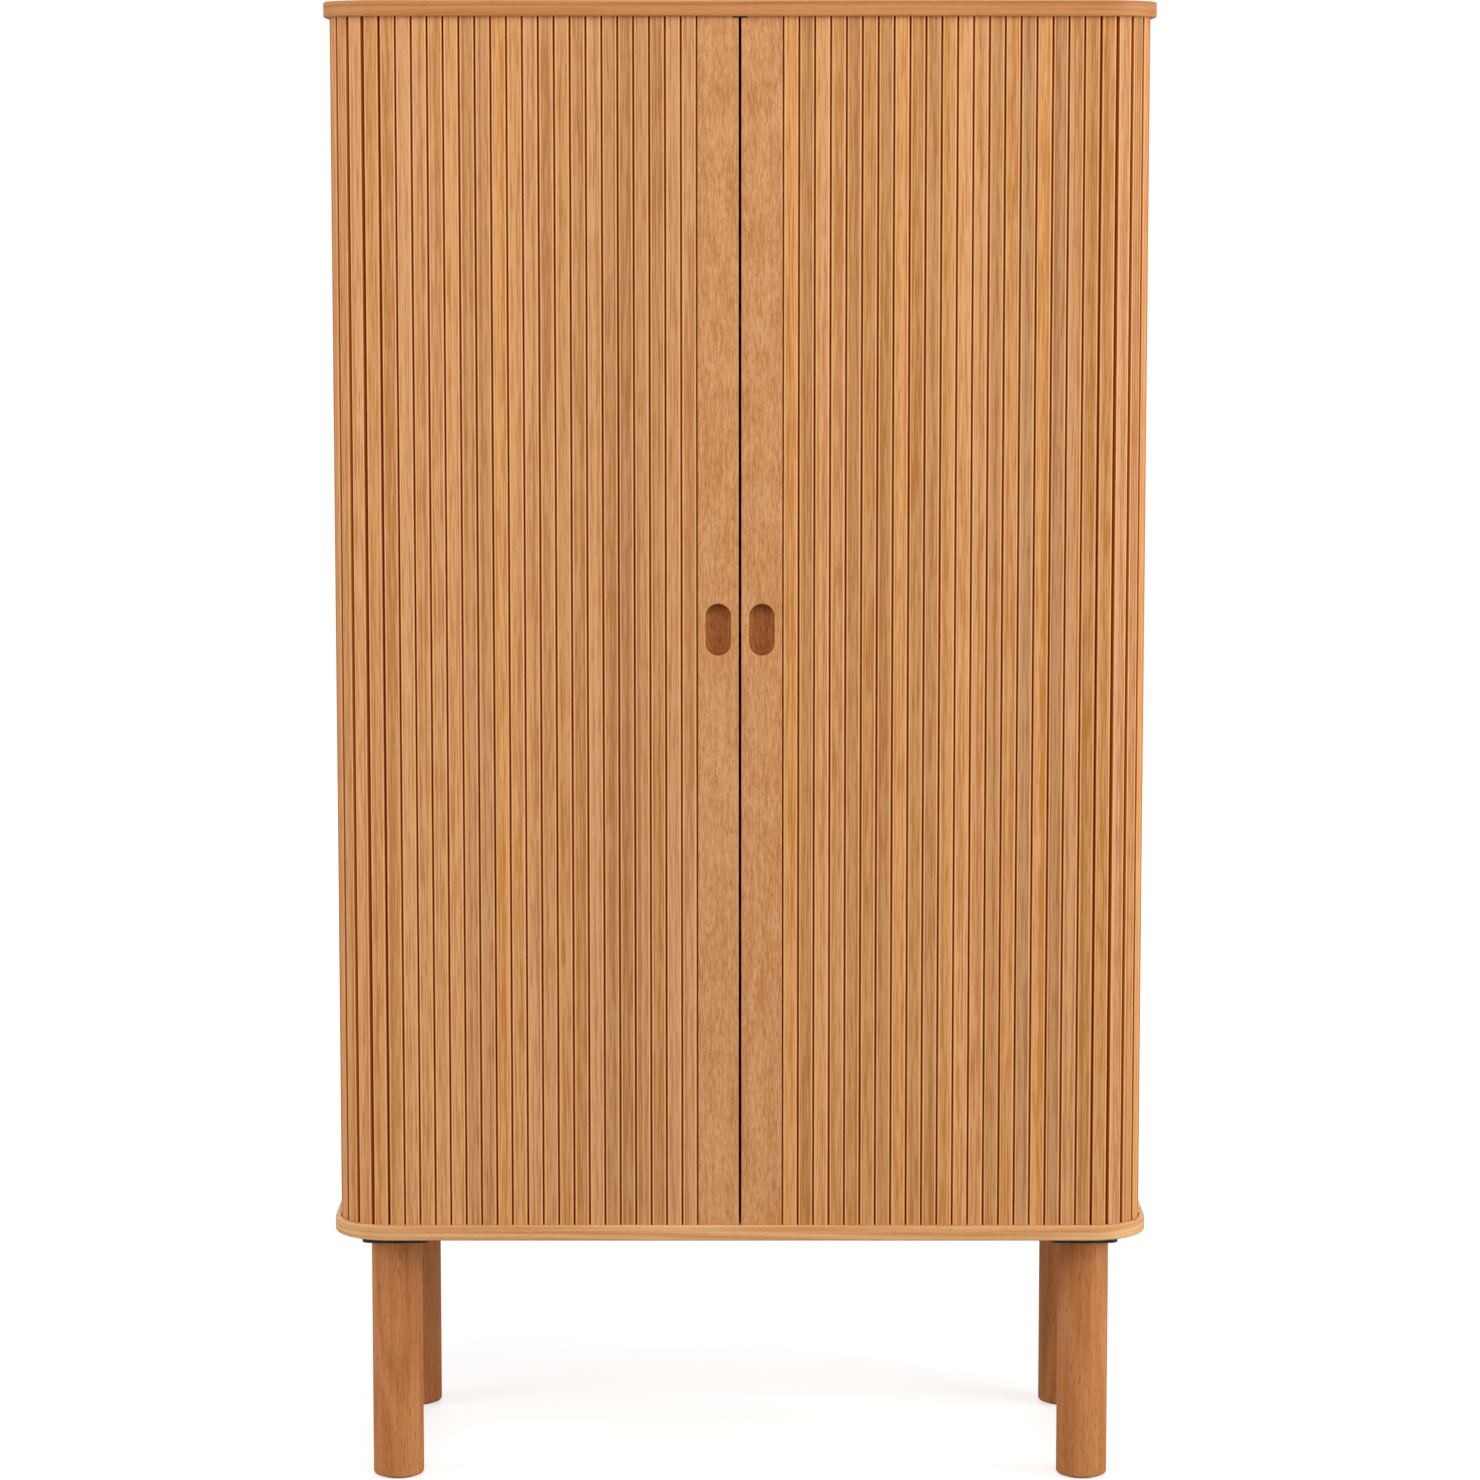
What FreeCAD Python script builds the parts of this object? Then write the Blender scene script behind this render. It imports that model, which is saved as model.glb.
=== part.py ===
"""Tall oak cabinet with two tambour doors, on four round legs.

Millimetres. The origin is on the floor under the middle of the cabinet, +Z is up,
+X is to the right as seen from the front, and the doors face -Y.
"""

import FreeCAD, Part
import math
import os

# Overall sizes
width = 800.0
depth = 400.0
height = 1450.0
leg_height = 250.0
panel_thickness = 15.0
corner_radius = 57.0
edge_easing = 1.2
overrun = 4.0
plane_tolerance = 0.01

# Tambour curtain
front_slat_count = 20
slat_setback = 5.5
slat_thickness = 5.0
slat_gap = 0.9
slat_easing = 1.1
canvas_thickness = 0.6
canvas_end_margin = 18.0
tail_tuck = 24.0

# Track groove that is routed in both panels
track_depth = 7.0
track_wall_clearance = 0.4
track_head_room = 2.0
rear_track_shift = 3.0

# Lead rails, their finger pulls and the stop between them
rail_width = 40.0
rail_thickness = 16.0
rail_end_clearance = 1.5
meeting_gap = 2.5
tongue_clearance = 0.4
pull_width = 24.5
pull_height = 50.0
pull_depth = 9.0
pull_cove = 5.0
pull_rim = 1.0
pull_end_flat = 0.1
pull_centre_height = 850.0
stop_width = 12.6
stop_drop = 1.2
stop_clearance = 0.5

# Inner case
case_side_thickness = 15.0
case_side_gap = 4.9
case_front_setback = 50.0
case_rear_setback = 50.0
case_back_thickness = 8.0
case_fit = 0.2
case_edge_easing = 1.0
shelf_count = 3
shelf_thickness = 15.0
shelf_front_setback = 6.0
shelf_side_clearance = 0.5
shelf_seat_clearance = 0.05
pin_radius = 2.5
pin_depth = 9.0
pin_reach = 9.0
pin_inset = 45.0
housing_depth = 5.0
shelf_housing_depth = 5.0
bore_clearance = 0.05

# Back
back_thickness = 6.0
back_half_width = 350.0
back_rebate = 6.0
back_fit = 0.2
post_width = 25.0

# Legs and what holds them
leg_diameter = 50.0
leg_inset = 60.0
leg_foot_easing = 2.0
bracket_length = 66.0
bracket_depth = 48.0
bracket_thickness = 10.5
bracket_corner = 8.0
stud_radius = 4.0
stud_length = 40.0
glide_radius = 19.0
glide_thickness = 1.5

# Levels and planes that follow from the sizes above
bottom_low = leg_height
bottom_high = bottom_low + panel_thickness
top_high = height
top_low = top_high - panel_thickness
front_edge = -depth / 2
rear_edge = depth / 2
side_edge = width / 2
slat_low = bottom_high - track_depth
slat_high = top_low + track_depth - track_head_room
face_plane = front_edge + slat_setback
leg_top = bottom_low - bracket_thickness

# The curtain's back follows this line: front, front corner, side, rear corner, rear
path_offset = slat_setback + slat_thickness
path_radius = corner_radius - path_offset
corner_x = side_edge - corner_radius
front_corner_y = front_edge + corner_radius
rear_corner_y = rear_edge - corner_radius - rear_track_shift
path_front = front_edge + path_offset
path_rear = rear_edge - path_offset - rear_track_shift
first_slat_x = meeting_gap / 2 + rail_width
slat_pitch = (corner_x - first_slat_x) / front_slat_count
quarter_turn = math.pi / 2 * path_radius
side_run = rear_corner_y - front_corner_y
chord_sag = path_radius - math.sqrt(path_radius ** 2 - (slat_pitch / 2) ** 2)
groove_outer = slat_setback - track_wall_clearance
groove_inner = path_offset + chord_sag + canvas_thickness + track_wall_clearance
bisection_steps = 50

# Inner case planes
case_outer_x = side_edge - path_offset - canvas_thickness - case_side_gap
case_inner_x = case_outer_x - case_side_thickness
case_front = front_edge + case_front_setback
case_depth = depth - case_front_setback - case_rear_setback
case_rear = case_front + case_depth
case_back_front = case_rear - case_back_thickness
case_height = top_low - bottom_high
shelf_pitch = (case_height + shelf_thickness) / (shelf_count + 1)
back_front = rear_edge - back_thickness


def vec(x, y, z):
    """A vector, written short because every piece needs many."""
    return FreeCAD.Vector(x, y, z)


def box(x0, x1, y0, y1, z0, z1):
    """A box between two corners."""
    return Part.makeBox(x1 - x0, y1 - y0, z1 - z0, vec(x0, y0, z0))


def rod(radius, base, direction, length):
    """A round bar from base along direction."""
    return Part.makeCylinder(radius, length, base, direction)


def mirror_x(shape):
    """The same piece on the other side of the cabinet."""
    return shape.mirror(vec(0, 0, 0), vec(1, 0, 0))


def corner_arc(centre_x, centre_y, radius, start_angle, z):
    """A quarter circle, counter-clockwise from start_angle."""
    points = []
    for step in range(3):
        angle = start_angle + step * math.pi / 4
        points.append(vec(centre_x + radius * math.cos(angle), centre_y + radius * math.sin(angle), z))
    return points


def rounded_outline(x0, x1, y0, y1, radius, z):
    """A level rectangle with four rounded corners."""
    corners = (
        corner_arc(x1 - radius, y0 + radius, radius, -math.pi / 2, z),
        corner_arc(x1 - radius, y1 - radius, radius, 0, z),
        corner_arc(x0 + radius, y1 - radius, radius, math.pi / 2, z),
        corner_arc(x0 + radius, y0 + radius, radius, math.pi, z),
    )
    edges = []
    for index, arc in enumerate(corners):
        edges.append(Part.Arc(*arc).toShape())
        edges.append(Part.LineSegment(arc[-1], corners[(index + 1) % len(corners)][0]).toShape())
    return Part.Wire(edges)


def rounded_plate(x0, x1, y0, y1, radius, z0, z1):
    """A plate with four rounded corners."""
    return Part.Face(rounded_outline(x0, x1, y0, y1, radius, z0)).extrude(vec(0, 0, z1 - z0))


def edges_on(shape, axis, place):
    """The edges that lie wholly in one plane, square to axis."""
    found = []
    for edge in shape.Edges:
        ends = edge.BoundBox
        low = getattr(ends, axis + "Min")
        high = getattr(ends, axis + "Max")
        if max(abs(low - place), abs(high - place)) < plane_tolerance:
            found.append(edge)
    return found


def track_point(distance):
    """The point of the right-hand curtain line at a distance from the front corner's start.

    A negative distance lies on the front run.
    """
    if distance <= 0:
        return vec(corner_x + distance, path_front, 0)
    if distance <= quarter_turn:
        angle = distance / path_radius - math.pi / 2
        return vec(
            corner_x + path_radius * math.cos(angle), front_corner_y + path_radius * math.sin(angle), 0
        )
    distance -= quarter_turn
    if distance <= side_run:
        return vec(corner_x + path_radius, front_corner_y + distance, 0)
    distance -= side_run
    if distance <= quarter_turn:
        angle = distance / path_radius
        return vec(
            corner_x + path_radius * math.cos(angle), rear_corner_y + path_radius * math.sin(angle), 0
        )
    return vec(corner_x - (distance - quarter_turn), path_rear, 0)


def next_distance(distance):
    """Where the next slat starts: one pitch away in a straight line."""
    here = track_point(distance)
    near = distance
    far = distance + 2 * slat_pitch
    for _ in range(bisection_steps):
        middle = (near + far) / 2
        if (track_point(middle) - here).Length < slat_pitch:
            near = middle
        else:
            far = middle
    return (near + far) / 2


def curtain_distances():
    """Track distances of all slat joints, from the lead rail to the tail behind the back."""
    places = [-slat_pitch * (front_slat_count - index) for index in range(front_slat_count + 1)]
    end = 2 * quarter_turn + side_run + tail_tuck
    while places[-1] < end:
        places.append(next_distance(places[-1]))
    return places


def slat(start, end):
    """One slat with eased front edges, its back on the line from start to end."""
    along = (end - start).normalize()
    outward = vec(along.y, -along.x, 0)

    def place(along_slat, out):
        return start + along * along_slat + outward * out + vec(0, 0, slat_low)

    left = slat_gap / 2
    right = slat_pitch - slat_gap / 2
    shoulder = slat_thickness - slat_easing
    corners = (
        place(left, 0),
        place(left, shoulder),
        place(left + slat_easing, slat_thickness),
        place(right - slat_easing, slat_thickness),
        place(right, shoulder),
        place(right, 0),
        place(left, 0),
    )
    return Part.Face(Part.makePolygon(corners)).extrude(vec(0, 0, slat_high - slat_low))


def canvas_backs(points):
    """The far face of the cloth behind each slat joint, mitred where the curtain bends."""
    backs = []
    last = len(points) - 1
    for index, point in enumerate(points):
        arriving = points[max(index, 1)] - points[max(index, 1) - 1]
        leaving = points[min(index, last - 1) + 1] - points[min(index, last - 1)]
        bisector = arriving.normalize() + leaving.normalize()
        inward = vec(-bisector.y, bisector.x, 0)
        backs.append(point + inward * (2 * canvas_thickness / bisector.Length ** 2))
    return backs


def canvas(points, backs):
    """The cloth glued to the slats' backs along a row of slat joints."""
    low = vec(0, 0, bottom_high + canvas_end_margin)
    loop = [point + low for point in points + backs[::-1]]
    outline = Part.makePolygon(loop + [loop[0]])
    return Part.Face(outline).extrude(vec(0, 0, case_height - 2 * canvas_end_margin))


def curtain_pieces():
    """The right-hand curtain's slats by stretch, and its two lengths of canvas."""
    places = curtain_distances()
    points = [track_point(place) for place in places]
    stretches = {"front": [], "corner": [], "side": [], "rear": []}
    for index in range(len(points) - 1):
        middle = (places[index] + places[index + 1]) / 2
        name = "rear"
        if middle < quarter_turn + side_run:
            name = "side"
        if middle < quarter_turn:
            name = "corner"
        if index < front_slat_count:
            name = "front"
        stretches[name].append(slat(points[index], points[index + 1]))
    pieces = {name + "_slats": Part.makeCompound(solids) for name, solids in stretches.items()}
    backs = canvas_backs(points)
    turn = front_slat_count
    pieces["front_canvas"] = canvas([points[0], points[turn]], [backs[0], backs[turn]])
    pieces["wrap_canvas"] = canvas(points[turn:], backs[turn:])
    return pieces


def lead_rail():
    """The right-hand lead rail, with end tongues, a notch for the stop and a finger pull."""
    near = meeting_gap / 2
    far = first_slat_x - slat_gap / 2
    back = face_plane + rail_thickness
    rail = box(near, far, face_plane, back, slat_low, slat_high)
    long_front_edges = [
        edge for edge in edges_on(rail, "Y", face_plane) if edge.Length > rail_width
    ]
    rail = rail.makeChamfer(slat_easing, long_front_edges)
    tongue_back = front_edge + groove_inner - tongue_clearance
    body_low = bottom_high + rail_end_clearance
    body_high = top_low - rail_end_clearance
    for low, high in ((slat_low - overrun, body_low), (body_high, slat_high + overrun)):
        rail = rail.cut(box(near - overrun, far + overrun, tongue_back, back + overrun, low, high))
    notch_end = stop_width / 2 + stop_clearance
    rail = rail.cut(
        box(near - overrun, notch_end, face_plane - overrun, back, body_high, slat_high + overrun)
    )
    return rail.cut(finger_pull((near + far) / 2))


def finger_pull(centre_x):
    """The pull's hollow: an upright slot with a coved floor and a softened rim."""
    end_radius = (pull_width - pull_end_flat) / 2

    def outline(grow, level):
        half_width = pull_width / 2 + grow
        half_height = pull_height / 2 + grow
        return rounded_outline(
            -half_width, half_width, -half_height, half_height, end_radius + grow, level
        )

    hollow = Part.Face(outline(0, 0)).extrude(vec(0, 0, pull_depth))
    hollow = hollow.makeFillet(pull_cove, edges_on(hollow, "Z", pull_depth))
    rim = Part.makeLoft([outline(pull_rim, 0), outline(0, pull_rim)], True, True)
    hollow = hollow.fuse(rim)
    hollow.rotate(vec(0, 0, 0), vec(1, 0, 0), -90)
    hollow.translate(vec(centre_x, face_plane, pull_centre_height))
    return hollow


def rail_stop():
    """The block in the top track that the two lead rails close against."""
    half = stop_width / 2
    back = front_edge + groove_inner - tongue_clearance
    return box(-half, half, face_plane, back, top_low - stop_drop, top_low + track_depth)


def track_ring(low, high):
    """The track groove's hollow, a ring between two rounded outlines."""
    rings = []
    for offset in (groove_outer, groove_inner):
        rings.append(
            rounded_plate(
                -side_edge + offset,
                side_edge - offset,
                front_edge + offset,
                rear_edge - offset - rear_track_shift,
                corner_radius - offset,
                low,
                high,
            )
        )
    return rings[0].cut(rings[1])


def plain_panel(low, high):
    """A top or bottom panel before its joints are cut."""
    plate = rounded_plate(-side_edge, side_edge, front_edge, rear_edge, corner_radius, low, high)
    eased = edges_on(plate, "Z", low) + edges_on(plate, "Z", high)
    return plate.makeChamfer(edge_easing, eased)


def side_housings(low, high):
    """The trenches that the ends of the case sides are let into."""
    trenches = []
    for near, far in ((-case_outer_x, -case_inner_x), (case_inner_x, case_outer_x)):
        trenches.append(
            box(near - case_fit, far + case_fit, case_front - case_fit, case_rear + case_fit, low, high)
        )
    return Part.makeCompound(trenches)


def back_seat(low, high):
    """The rebate that takes one end of the back panel."""
    half = back_half_width + back_fit
    return box(-half, half, back_front - back_fit, rear_edge + overrun, low, high)


def top_panel():
    """The top, with its track, side housings and back rebate on the underside."""
    panel = plain_panel(top_low, top_high)
    panel = panel.cut(track_ring(top_low - overrun, top_low + track_depth))
    panel = panel.cut(back_seat(top_low - overrun, top_low + back_rebate + back_fit))
    return panel.cut(side_housings(top_low - overrun, top_low + housing_depth))


def bottom_panel():
    """The bottom, with its track, side housings and back rebate on the upper side."""
    panel = plain_panel(bottom_low, bottom_high)
    panel = panel.cut(track_ring(bottom_high - track_depth, bottom_high + overrun))
    panel = panel.cut(back_seat(bottom_high - back_rebate, bottom_high + overrun))
    return panel.cut(side_housings(bottom_high - housing_depth, bottom_high + overrun))


def shelf_levels():
    """The undersides of the shelves, evenly spaced in the case."""
    return [
        bottom_high + shelf_pitch * (index + 1) - shelf_thickness for index in range(shelf_count)
    ]


def fixed_level():
    """The underside of the middle shelf, which is let into the case sides to keep them straight."""
    return shelf_levels()[shelf_count // 2]


def loose_levels():
    """The undersides of the shelves that lie on pins."""
    return [level for level in shelf_levels() if level != fixed_level()]


def pin_columns():
    """Front and rear columns of shelf pins, in plan."""
    return (case_front + pin_inset, case_back_front - pin_inset)


def pin_axis(level):
    """The height of the pins that carry a shelf whose underside is at level."""
    return level - pin_radius - shelf_seat_clearance


def case_side():
    """The right-hand side of the inner case, bored for pins and housed for the fixed shelf."""
    low = bottom_high - housing_depth
    high = top_low + housing_depth
    board = box(case_inner_x, case_outer_x, case_front, case_rear, low, high)
    upright_front_edges = [
        edge for edge in edges_on(board, "Y", case_front) if edge.Length > case_height
    ]
    board = board.makeChamfer(case_edge_easing, upright_front_edges)
    housing_end = case_inner_x + shelf_housing_depth
    housing_front = case_front + shelf_front_setback - case_fit
    housing_high = fixed_level() + shelf_thickness + case_fit
    housing = box(
        case_inner_x - overrun, housing_end, housing_front, case_rear + overrun, fixed_level(), housing_high
    )
    board = board.cut(housing)
    holes = []
    for level in loose_levels():
        for y in pin_columns():
            base = vec(case_inner_x - overrun, y, pin_axis(level))
            holes.append(rod(pin_radius + bore_clearance, base, vec(1, 0, 0), pin_depth + overrun))
    return board.cut(Part.makeCompound(holes))


def shelf_pins():
    """Four pins under each loose shelf."""
    pins = []
    for level in loose_levels():
        for y in pin_columns():
            tip = vec(case_inner_x - pin_reach, y, pin_axis(level))
            pin = rod(pin_radius, tip, vec(1, 0, 0), pin_reach + pin_depth)
            pins.append(pin)
            pins.append(mirror_x(pin))
    return Part.makeCompound(pins)


def shelf(level):
    """One shelf with softened front edges, longer where its ends are let into the sides."""
    half = case_inner_x - shelf_side_clearance
    if level == fixed_level():
        half += shelf_housing_depth
    front = case_front + shelf_front_setback
    rear = case_back_front - shelf_side_clearance
    board = box(-half, half, front, rear, level, level + shelf_thickness)
    long_front_edges = [edge for edge in edges_on(board, "Y", front) if edge.Length > half]
    return board.makeChamfer(case_edge_easing, long_front_edges)


def case_back():
    """The back of the inner case, which hides the curtains' storage space."""
    half = case_inner_x - case_fit
    return box(-half, half, case_back_front, case_rear, bottom_high, top_low)


def rear_post():
    """The upright between case back and outer back that keeps the two curtains apart."""
    half = post_width / 2
    return box(-half, half, case_rear, back_front, bottom_high, top_low)


def back_panel():
    """The outer back, let into rebates in both panels."""
    low = bottom_high - back_rebate
    high = top_low + back_rebate
    return box(-back_half_width, back_half_width, back_front, rear_edge, low, high)


def leg_places():
    """The four leg axes in plan, by name."""
    x = side_edge - leg_inset
    y = rear_edge - leg_inset
    return {
        "front_left": (-x, -y),
        "front_right": (x, -y),
        "rear_left": (-x, y),
        "rear_right": (x, y),
    }


def leg(x, y):
    """A round leg with an eased foot, bored for the stud that it is screwed onto."""
    body = rod(leg_diameter / 2, vec(x, y, glide_thickness), vec(0, 0, 1), leg_top - glide_thickness)
    body = body.makeChamfer(leg_foot_easing, edges_on(body, "Z", glide_thickness))
    return body.cut(stud(x, y, bore_clearance))


def stud(x, y, spare):
    """A bracket's stud, wider and longer by spare when it bores its hole."""
    low = vec(x, y, leg_top - stud_length - spare)
    return rod(stud_radius + spare, low, vec(0, 0, 1), stud_length + spare)


def leg_bracket(x, y):
    """The black plate between a leg and the bottom, with an ear on each side and a stud below."""
    half_length = bracket_length / 2
    half_depth = bracket_depth / 2
    plate = rounded_plate(
        x - half_length, x + half_length, y - half_depth, y + half_depth, bracket_corner, leg_top, bottom_low
    )
    return plate.fuse(stud(x, y, 0)).removeSplitter()


def foot_glides():
    """A wide flat glide under each leg."""
    made = []
    for x, y in leg_places().values():
        made.append(rod(glide_radius, vec(x, y, 0), vec(0, 0, 1), glide_thickness))
    return Part.makeCompound(made)


def cabinet():
    """Every piece of the cabinet by its name."""
    pieces = {"top_panel": top_panel(), "bottom_panel": bottom_panel()}
    side = case_side()
    pieces["left_case_side"] = mirror_x(side)
    pieces["right_case_side"] = side
    pieces["case_back"] = case_back()
    pieces["rear_post"] = rear_post()
    pieces["back_panel"] = back_panel()
    for index, level in enumerate(shelf_levels()):
        pieces["shelf_%d" % (index + 1)] = shelf(level)
    pieces["shelf_pins"] = shelf_pins()
    for name, shape in curtain_pieces().items():
        pieces["left_" + name] = mirror_x(shape)
        pieces["right_" + name] = shape
    rail = lead_rail()
    pieces["left_lead_rail"] = mirror_x(rail)
    pieces["right_lead_rail"] = rail
    pieces["rail_stop"] = rail_stop()
    for name, (x, y) in leg_places().items():
        pieces[name + "_leg"] = leg(x, y)
        pieces[name + "_leg_bracket"] = leg_bracket(x, y)
    pieces["foot_glides"] = foot_glides()
    return pieces


os.makedirs("parts", exist_ok=True)
for node, shape in cabinet().items():
    shape.exportStep("parts/" + node + ".step")
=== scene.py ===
"""Dresses a tall oak cabinet with two tambour doors, and stands it in a plain white studio.

Metres. The origin is on the floor under the middle of the cabinet, +Z is up, +X is to the right as
seen from the front, and the doors face -Y.
"""

from __future__ import annotations

import logging
import math
from collections.abc import Callable
from dataclasses import dataclass
from enum import Enum

import bmesh
import bpy
from mathutils import Matrix, Vector


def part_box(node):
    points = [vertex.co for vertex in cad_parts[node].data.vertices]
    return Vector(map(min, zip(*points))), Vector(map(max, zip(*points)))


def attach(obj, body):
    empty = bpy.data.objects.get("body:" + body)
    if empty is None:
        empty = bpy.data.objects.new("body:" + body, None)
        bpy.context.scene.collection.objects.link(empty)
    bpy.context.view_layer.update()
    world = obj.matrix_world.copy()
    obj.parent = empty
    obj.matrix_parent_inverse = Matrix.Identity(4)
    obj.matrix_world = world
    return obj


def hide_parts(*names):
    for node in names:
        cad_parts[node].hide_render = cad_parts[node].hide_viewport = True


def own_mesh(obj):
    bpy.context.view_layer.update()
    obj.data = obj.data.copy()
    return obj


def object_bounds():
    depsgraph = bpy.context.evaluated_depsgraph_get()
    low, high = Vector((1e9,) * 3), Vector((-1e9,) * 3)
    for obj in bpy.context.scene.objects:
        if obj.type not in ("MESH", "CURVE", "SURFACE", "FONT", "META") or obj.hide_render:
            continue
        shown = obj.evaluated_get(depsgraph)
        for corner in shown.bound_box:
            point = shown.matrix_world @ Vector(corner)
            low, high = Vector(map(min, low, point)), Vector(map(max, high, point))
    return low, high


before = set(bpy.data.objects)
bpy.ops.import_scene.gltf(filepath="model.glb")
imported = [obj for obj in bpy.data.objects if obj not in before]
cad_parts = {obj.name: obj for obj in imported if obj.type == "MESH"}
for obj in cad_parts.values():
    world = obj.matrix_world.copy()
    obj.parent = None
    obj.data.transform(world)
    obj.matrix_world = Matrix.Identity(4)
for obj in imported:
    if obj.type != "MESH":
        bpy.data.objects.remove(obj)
CAD_LOW, CAD_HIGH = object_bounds()

LOG = logging.getLogger("cabinet")
CABINET = "cabinet"
CORNER_RADIUS = 0.057

# Points that are closer than this are one: in meshes built point by point, and in whole solids.
MERGE_DISTANCE = 1e-6
SOLID_MERGE_DISTANCE = 1e-5

# Edges that turn by more than this stay crisp, are rounded off, or are edges at all.
SHARP_ANGLE = math.radians(32)
EASED_ANGLE = math.radians(24)
FLAT_ANGLE = math.radians(0.4)
EASING_STEPS = 2

NOISE_MEAN = 0.5
WHITE = (1.0, 1.0, 1.0, 1.0)

# The attributes and the UV map that the finishes read.
TONE_NAME = "slat_tone"
# slat_across places the slats' painted edge highlights and gap shade; routed weights the pull's oil
# darkening and painted shade.
ACROSS_NAME = "slat_across"
ROUTED_NAME = "routed"
RUN_MAP = "edge_run"

Colour = tuple[float, float, float]
Point = tuple[float, float, float]
Plan = tuple[float, float]
Pair = tuple[float, float]


class Side(Enum):
    """The cabinet's two halves, with the sign of their X."""

    LEFT = -1
    RIGHT = 1

    @property
    def word(self) -> str:
        """The side's name as it stands in node names."""
        return self.name.lower()


class GrainRun(Enum):
    """The direction of a piece's grain."""

    UPRIGHT = "upright"
    SIDEWAYS = "sideways"
    WRAPPED = "wrapped"


class Stretch(Enum):
    """The four stretches of a tambour curtain, from the lead rail to the tail."""

    FRONT = "front"
    CORNER = "corner"
    SIDE = "side"
    REAR = "rear"


class NodeBench:
    """A node tree, with short ways to add and join nodes."""

    def __init__(self, tree: bpy.types.NodeTree) -> None:
        """Takes a tree to fill.

        Args:
            tree: the node tree.
        """
        self.tree = tree

    def add(self, kind: str, inputs: dict | None = None, **settings: object) -> bpy.types.Node:
        """Adds a node and fills its inputs.

        Args:
            kind: the node's type name.
            inputs: values or sockets by input name or index.
            settings: properties of the node itself.

        Returns:
            The new node.
        """
        node = self.tree.nodes.new(kind)
        for key, value in settings.items():
            setattr(node, key, value)
        for key, value in (inputs or {}).items():
            if isinstance(value, bpy.types.NodeSocket):
                self.tree.links.new(value, node.inputs[key])
            else:
                node.inputs[key].default_value = value
        return node

    def math(self, operation: str, *values: object) -> bpy.types.NodeSocket:
        """A number worked out from up to three numbers or sockets."""
        return self.add("ShaderNodeMath", dict(enumerate(values)), operation=operation).outputs[0]


class ShaderBench(NodeBench):
    """A new material, with the nodes that finishes are made of."""

    def __init__(self, name: str) -> None:
        """Makes an empty material.

        Args:
            name: the material's name.
        """
        self.material = bpy.data.materials.new(name)
        self.material.use_nodes = True
        super().__init__(self.material.node_tree)
        self.tree.nodes.clear()

    def vector(self, operation: str, *values: object) -> bpy.types.NodeSocket:
        """A vector worked out from vectors or sockets."""
        node = self.add("ShaderNodeVectorMath", dict(enumerate(values)), operation=operation)
        return node.outputs[0]

    def noise(
        self, place: bpy.types.NodeSocket, scale: Point, detail: float = 2.0
    ) -> bpy.types.NodeSocket:
        """Noise between 0 and 1.

        Args:
            place: the point in metres.
            scale: how many features there are to a metre along each axis.
            detail: the number of finer layers.

        Returns:
            The noise's value.
        """
        stretched = self.vector("MULTIPLY", place, scale)
        inputs = {"Vector": stretched, "Scale": 1.0, "Detail": detail}
        return self.add("ShaderNodeTexNoise", inputs).outputs[0]

    def between(self, value: bpy.types.NodeSocket, low: float, high: float) -> bpy.types.NodeSocket:
        """A smooth step from 0 where the value is low to 1 where it is high."""
        inputs = {"Value": value, "From Min": low, "From Max": high}
        return self.add("ShaderNodeMapRange", inputs, interpolation_type="SMOOTHSTEP").outputs[0]

    def spread(self, value: bpy.types.NodeSocket, low: float, high: float) -> bpy.types.NodeSocket:
        """A value from 0 to 1 spread evenly over low to high."""
        inputs = {"Value": value, "To Min": low, "To Max": high}
        return self.add("ShaderNodeMapRange", inputs).outputs[0]

    def mix(self, share: object, first: object, second: object) -> bpy.types.NodeSocket:
        """A colour between two colours.

        Args:
            share: how much of the second colour there is.
            first: a colour or a socket.
            second: a colour or a socket.

        Returns:
            The mixed colour.
        """
        colours = [c if isinstance(c, bpy.types.NodeSocket) else (*c, 1.0) for c in (first, second)]
        # The node has sockets for every kind of data: its colours are inputs 6 and 7 and output 2.
        inputs = {0: share, 6: colours[0], 7: colours[1]}
        return self.add("ShaderNodeMix", inputs, data_type="RGBA").outputs[2]

    def bump(self, height: bpy.types.NodeSocket, strength: float, depth: float) -> bpy.types.NodeSocket:
        """A surface normal that follows a height."""
        inputs = {"Strength": strength, "Distance": depth, "Height": height}
        return self.add("ShaderNodeBump", inputs).outputs[0]

    def close(self, **inputs: object) -> bpy.types.Material:
        """Ends the material in a principled shader.

        Args:
            inputs: values or sockets by the shader's input names, with _ for a space.

        Returns:
            The finished material.
        """
        named = {key.replace("_", " "): value for key, value in inputs.items()}
        shader = self.add("ShaderNodeBsdfPrincipled", named)
        self.add("ShaderNodeOutputMaterial", {"Surface": shader.outputs[0]})
        return self.material


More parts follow.
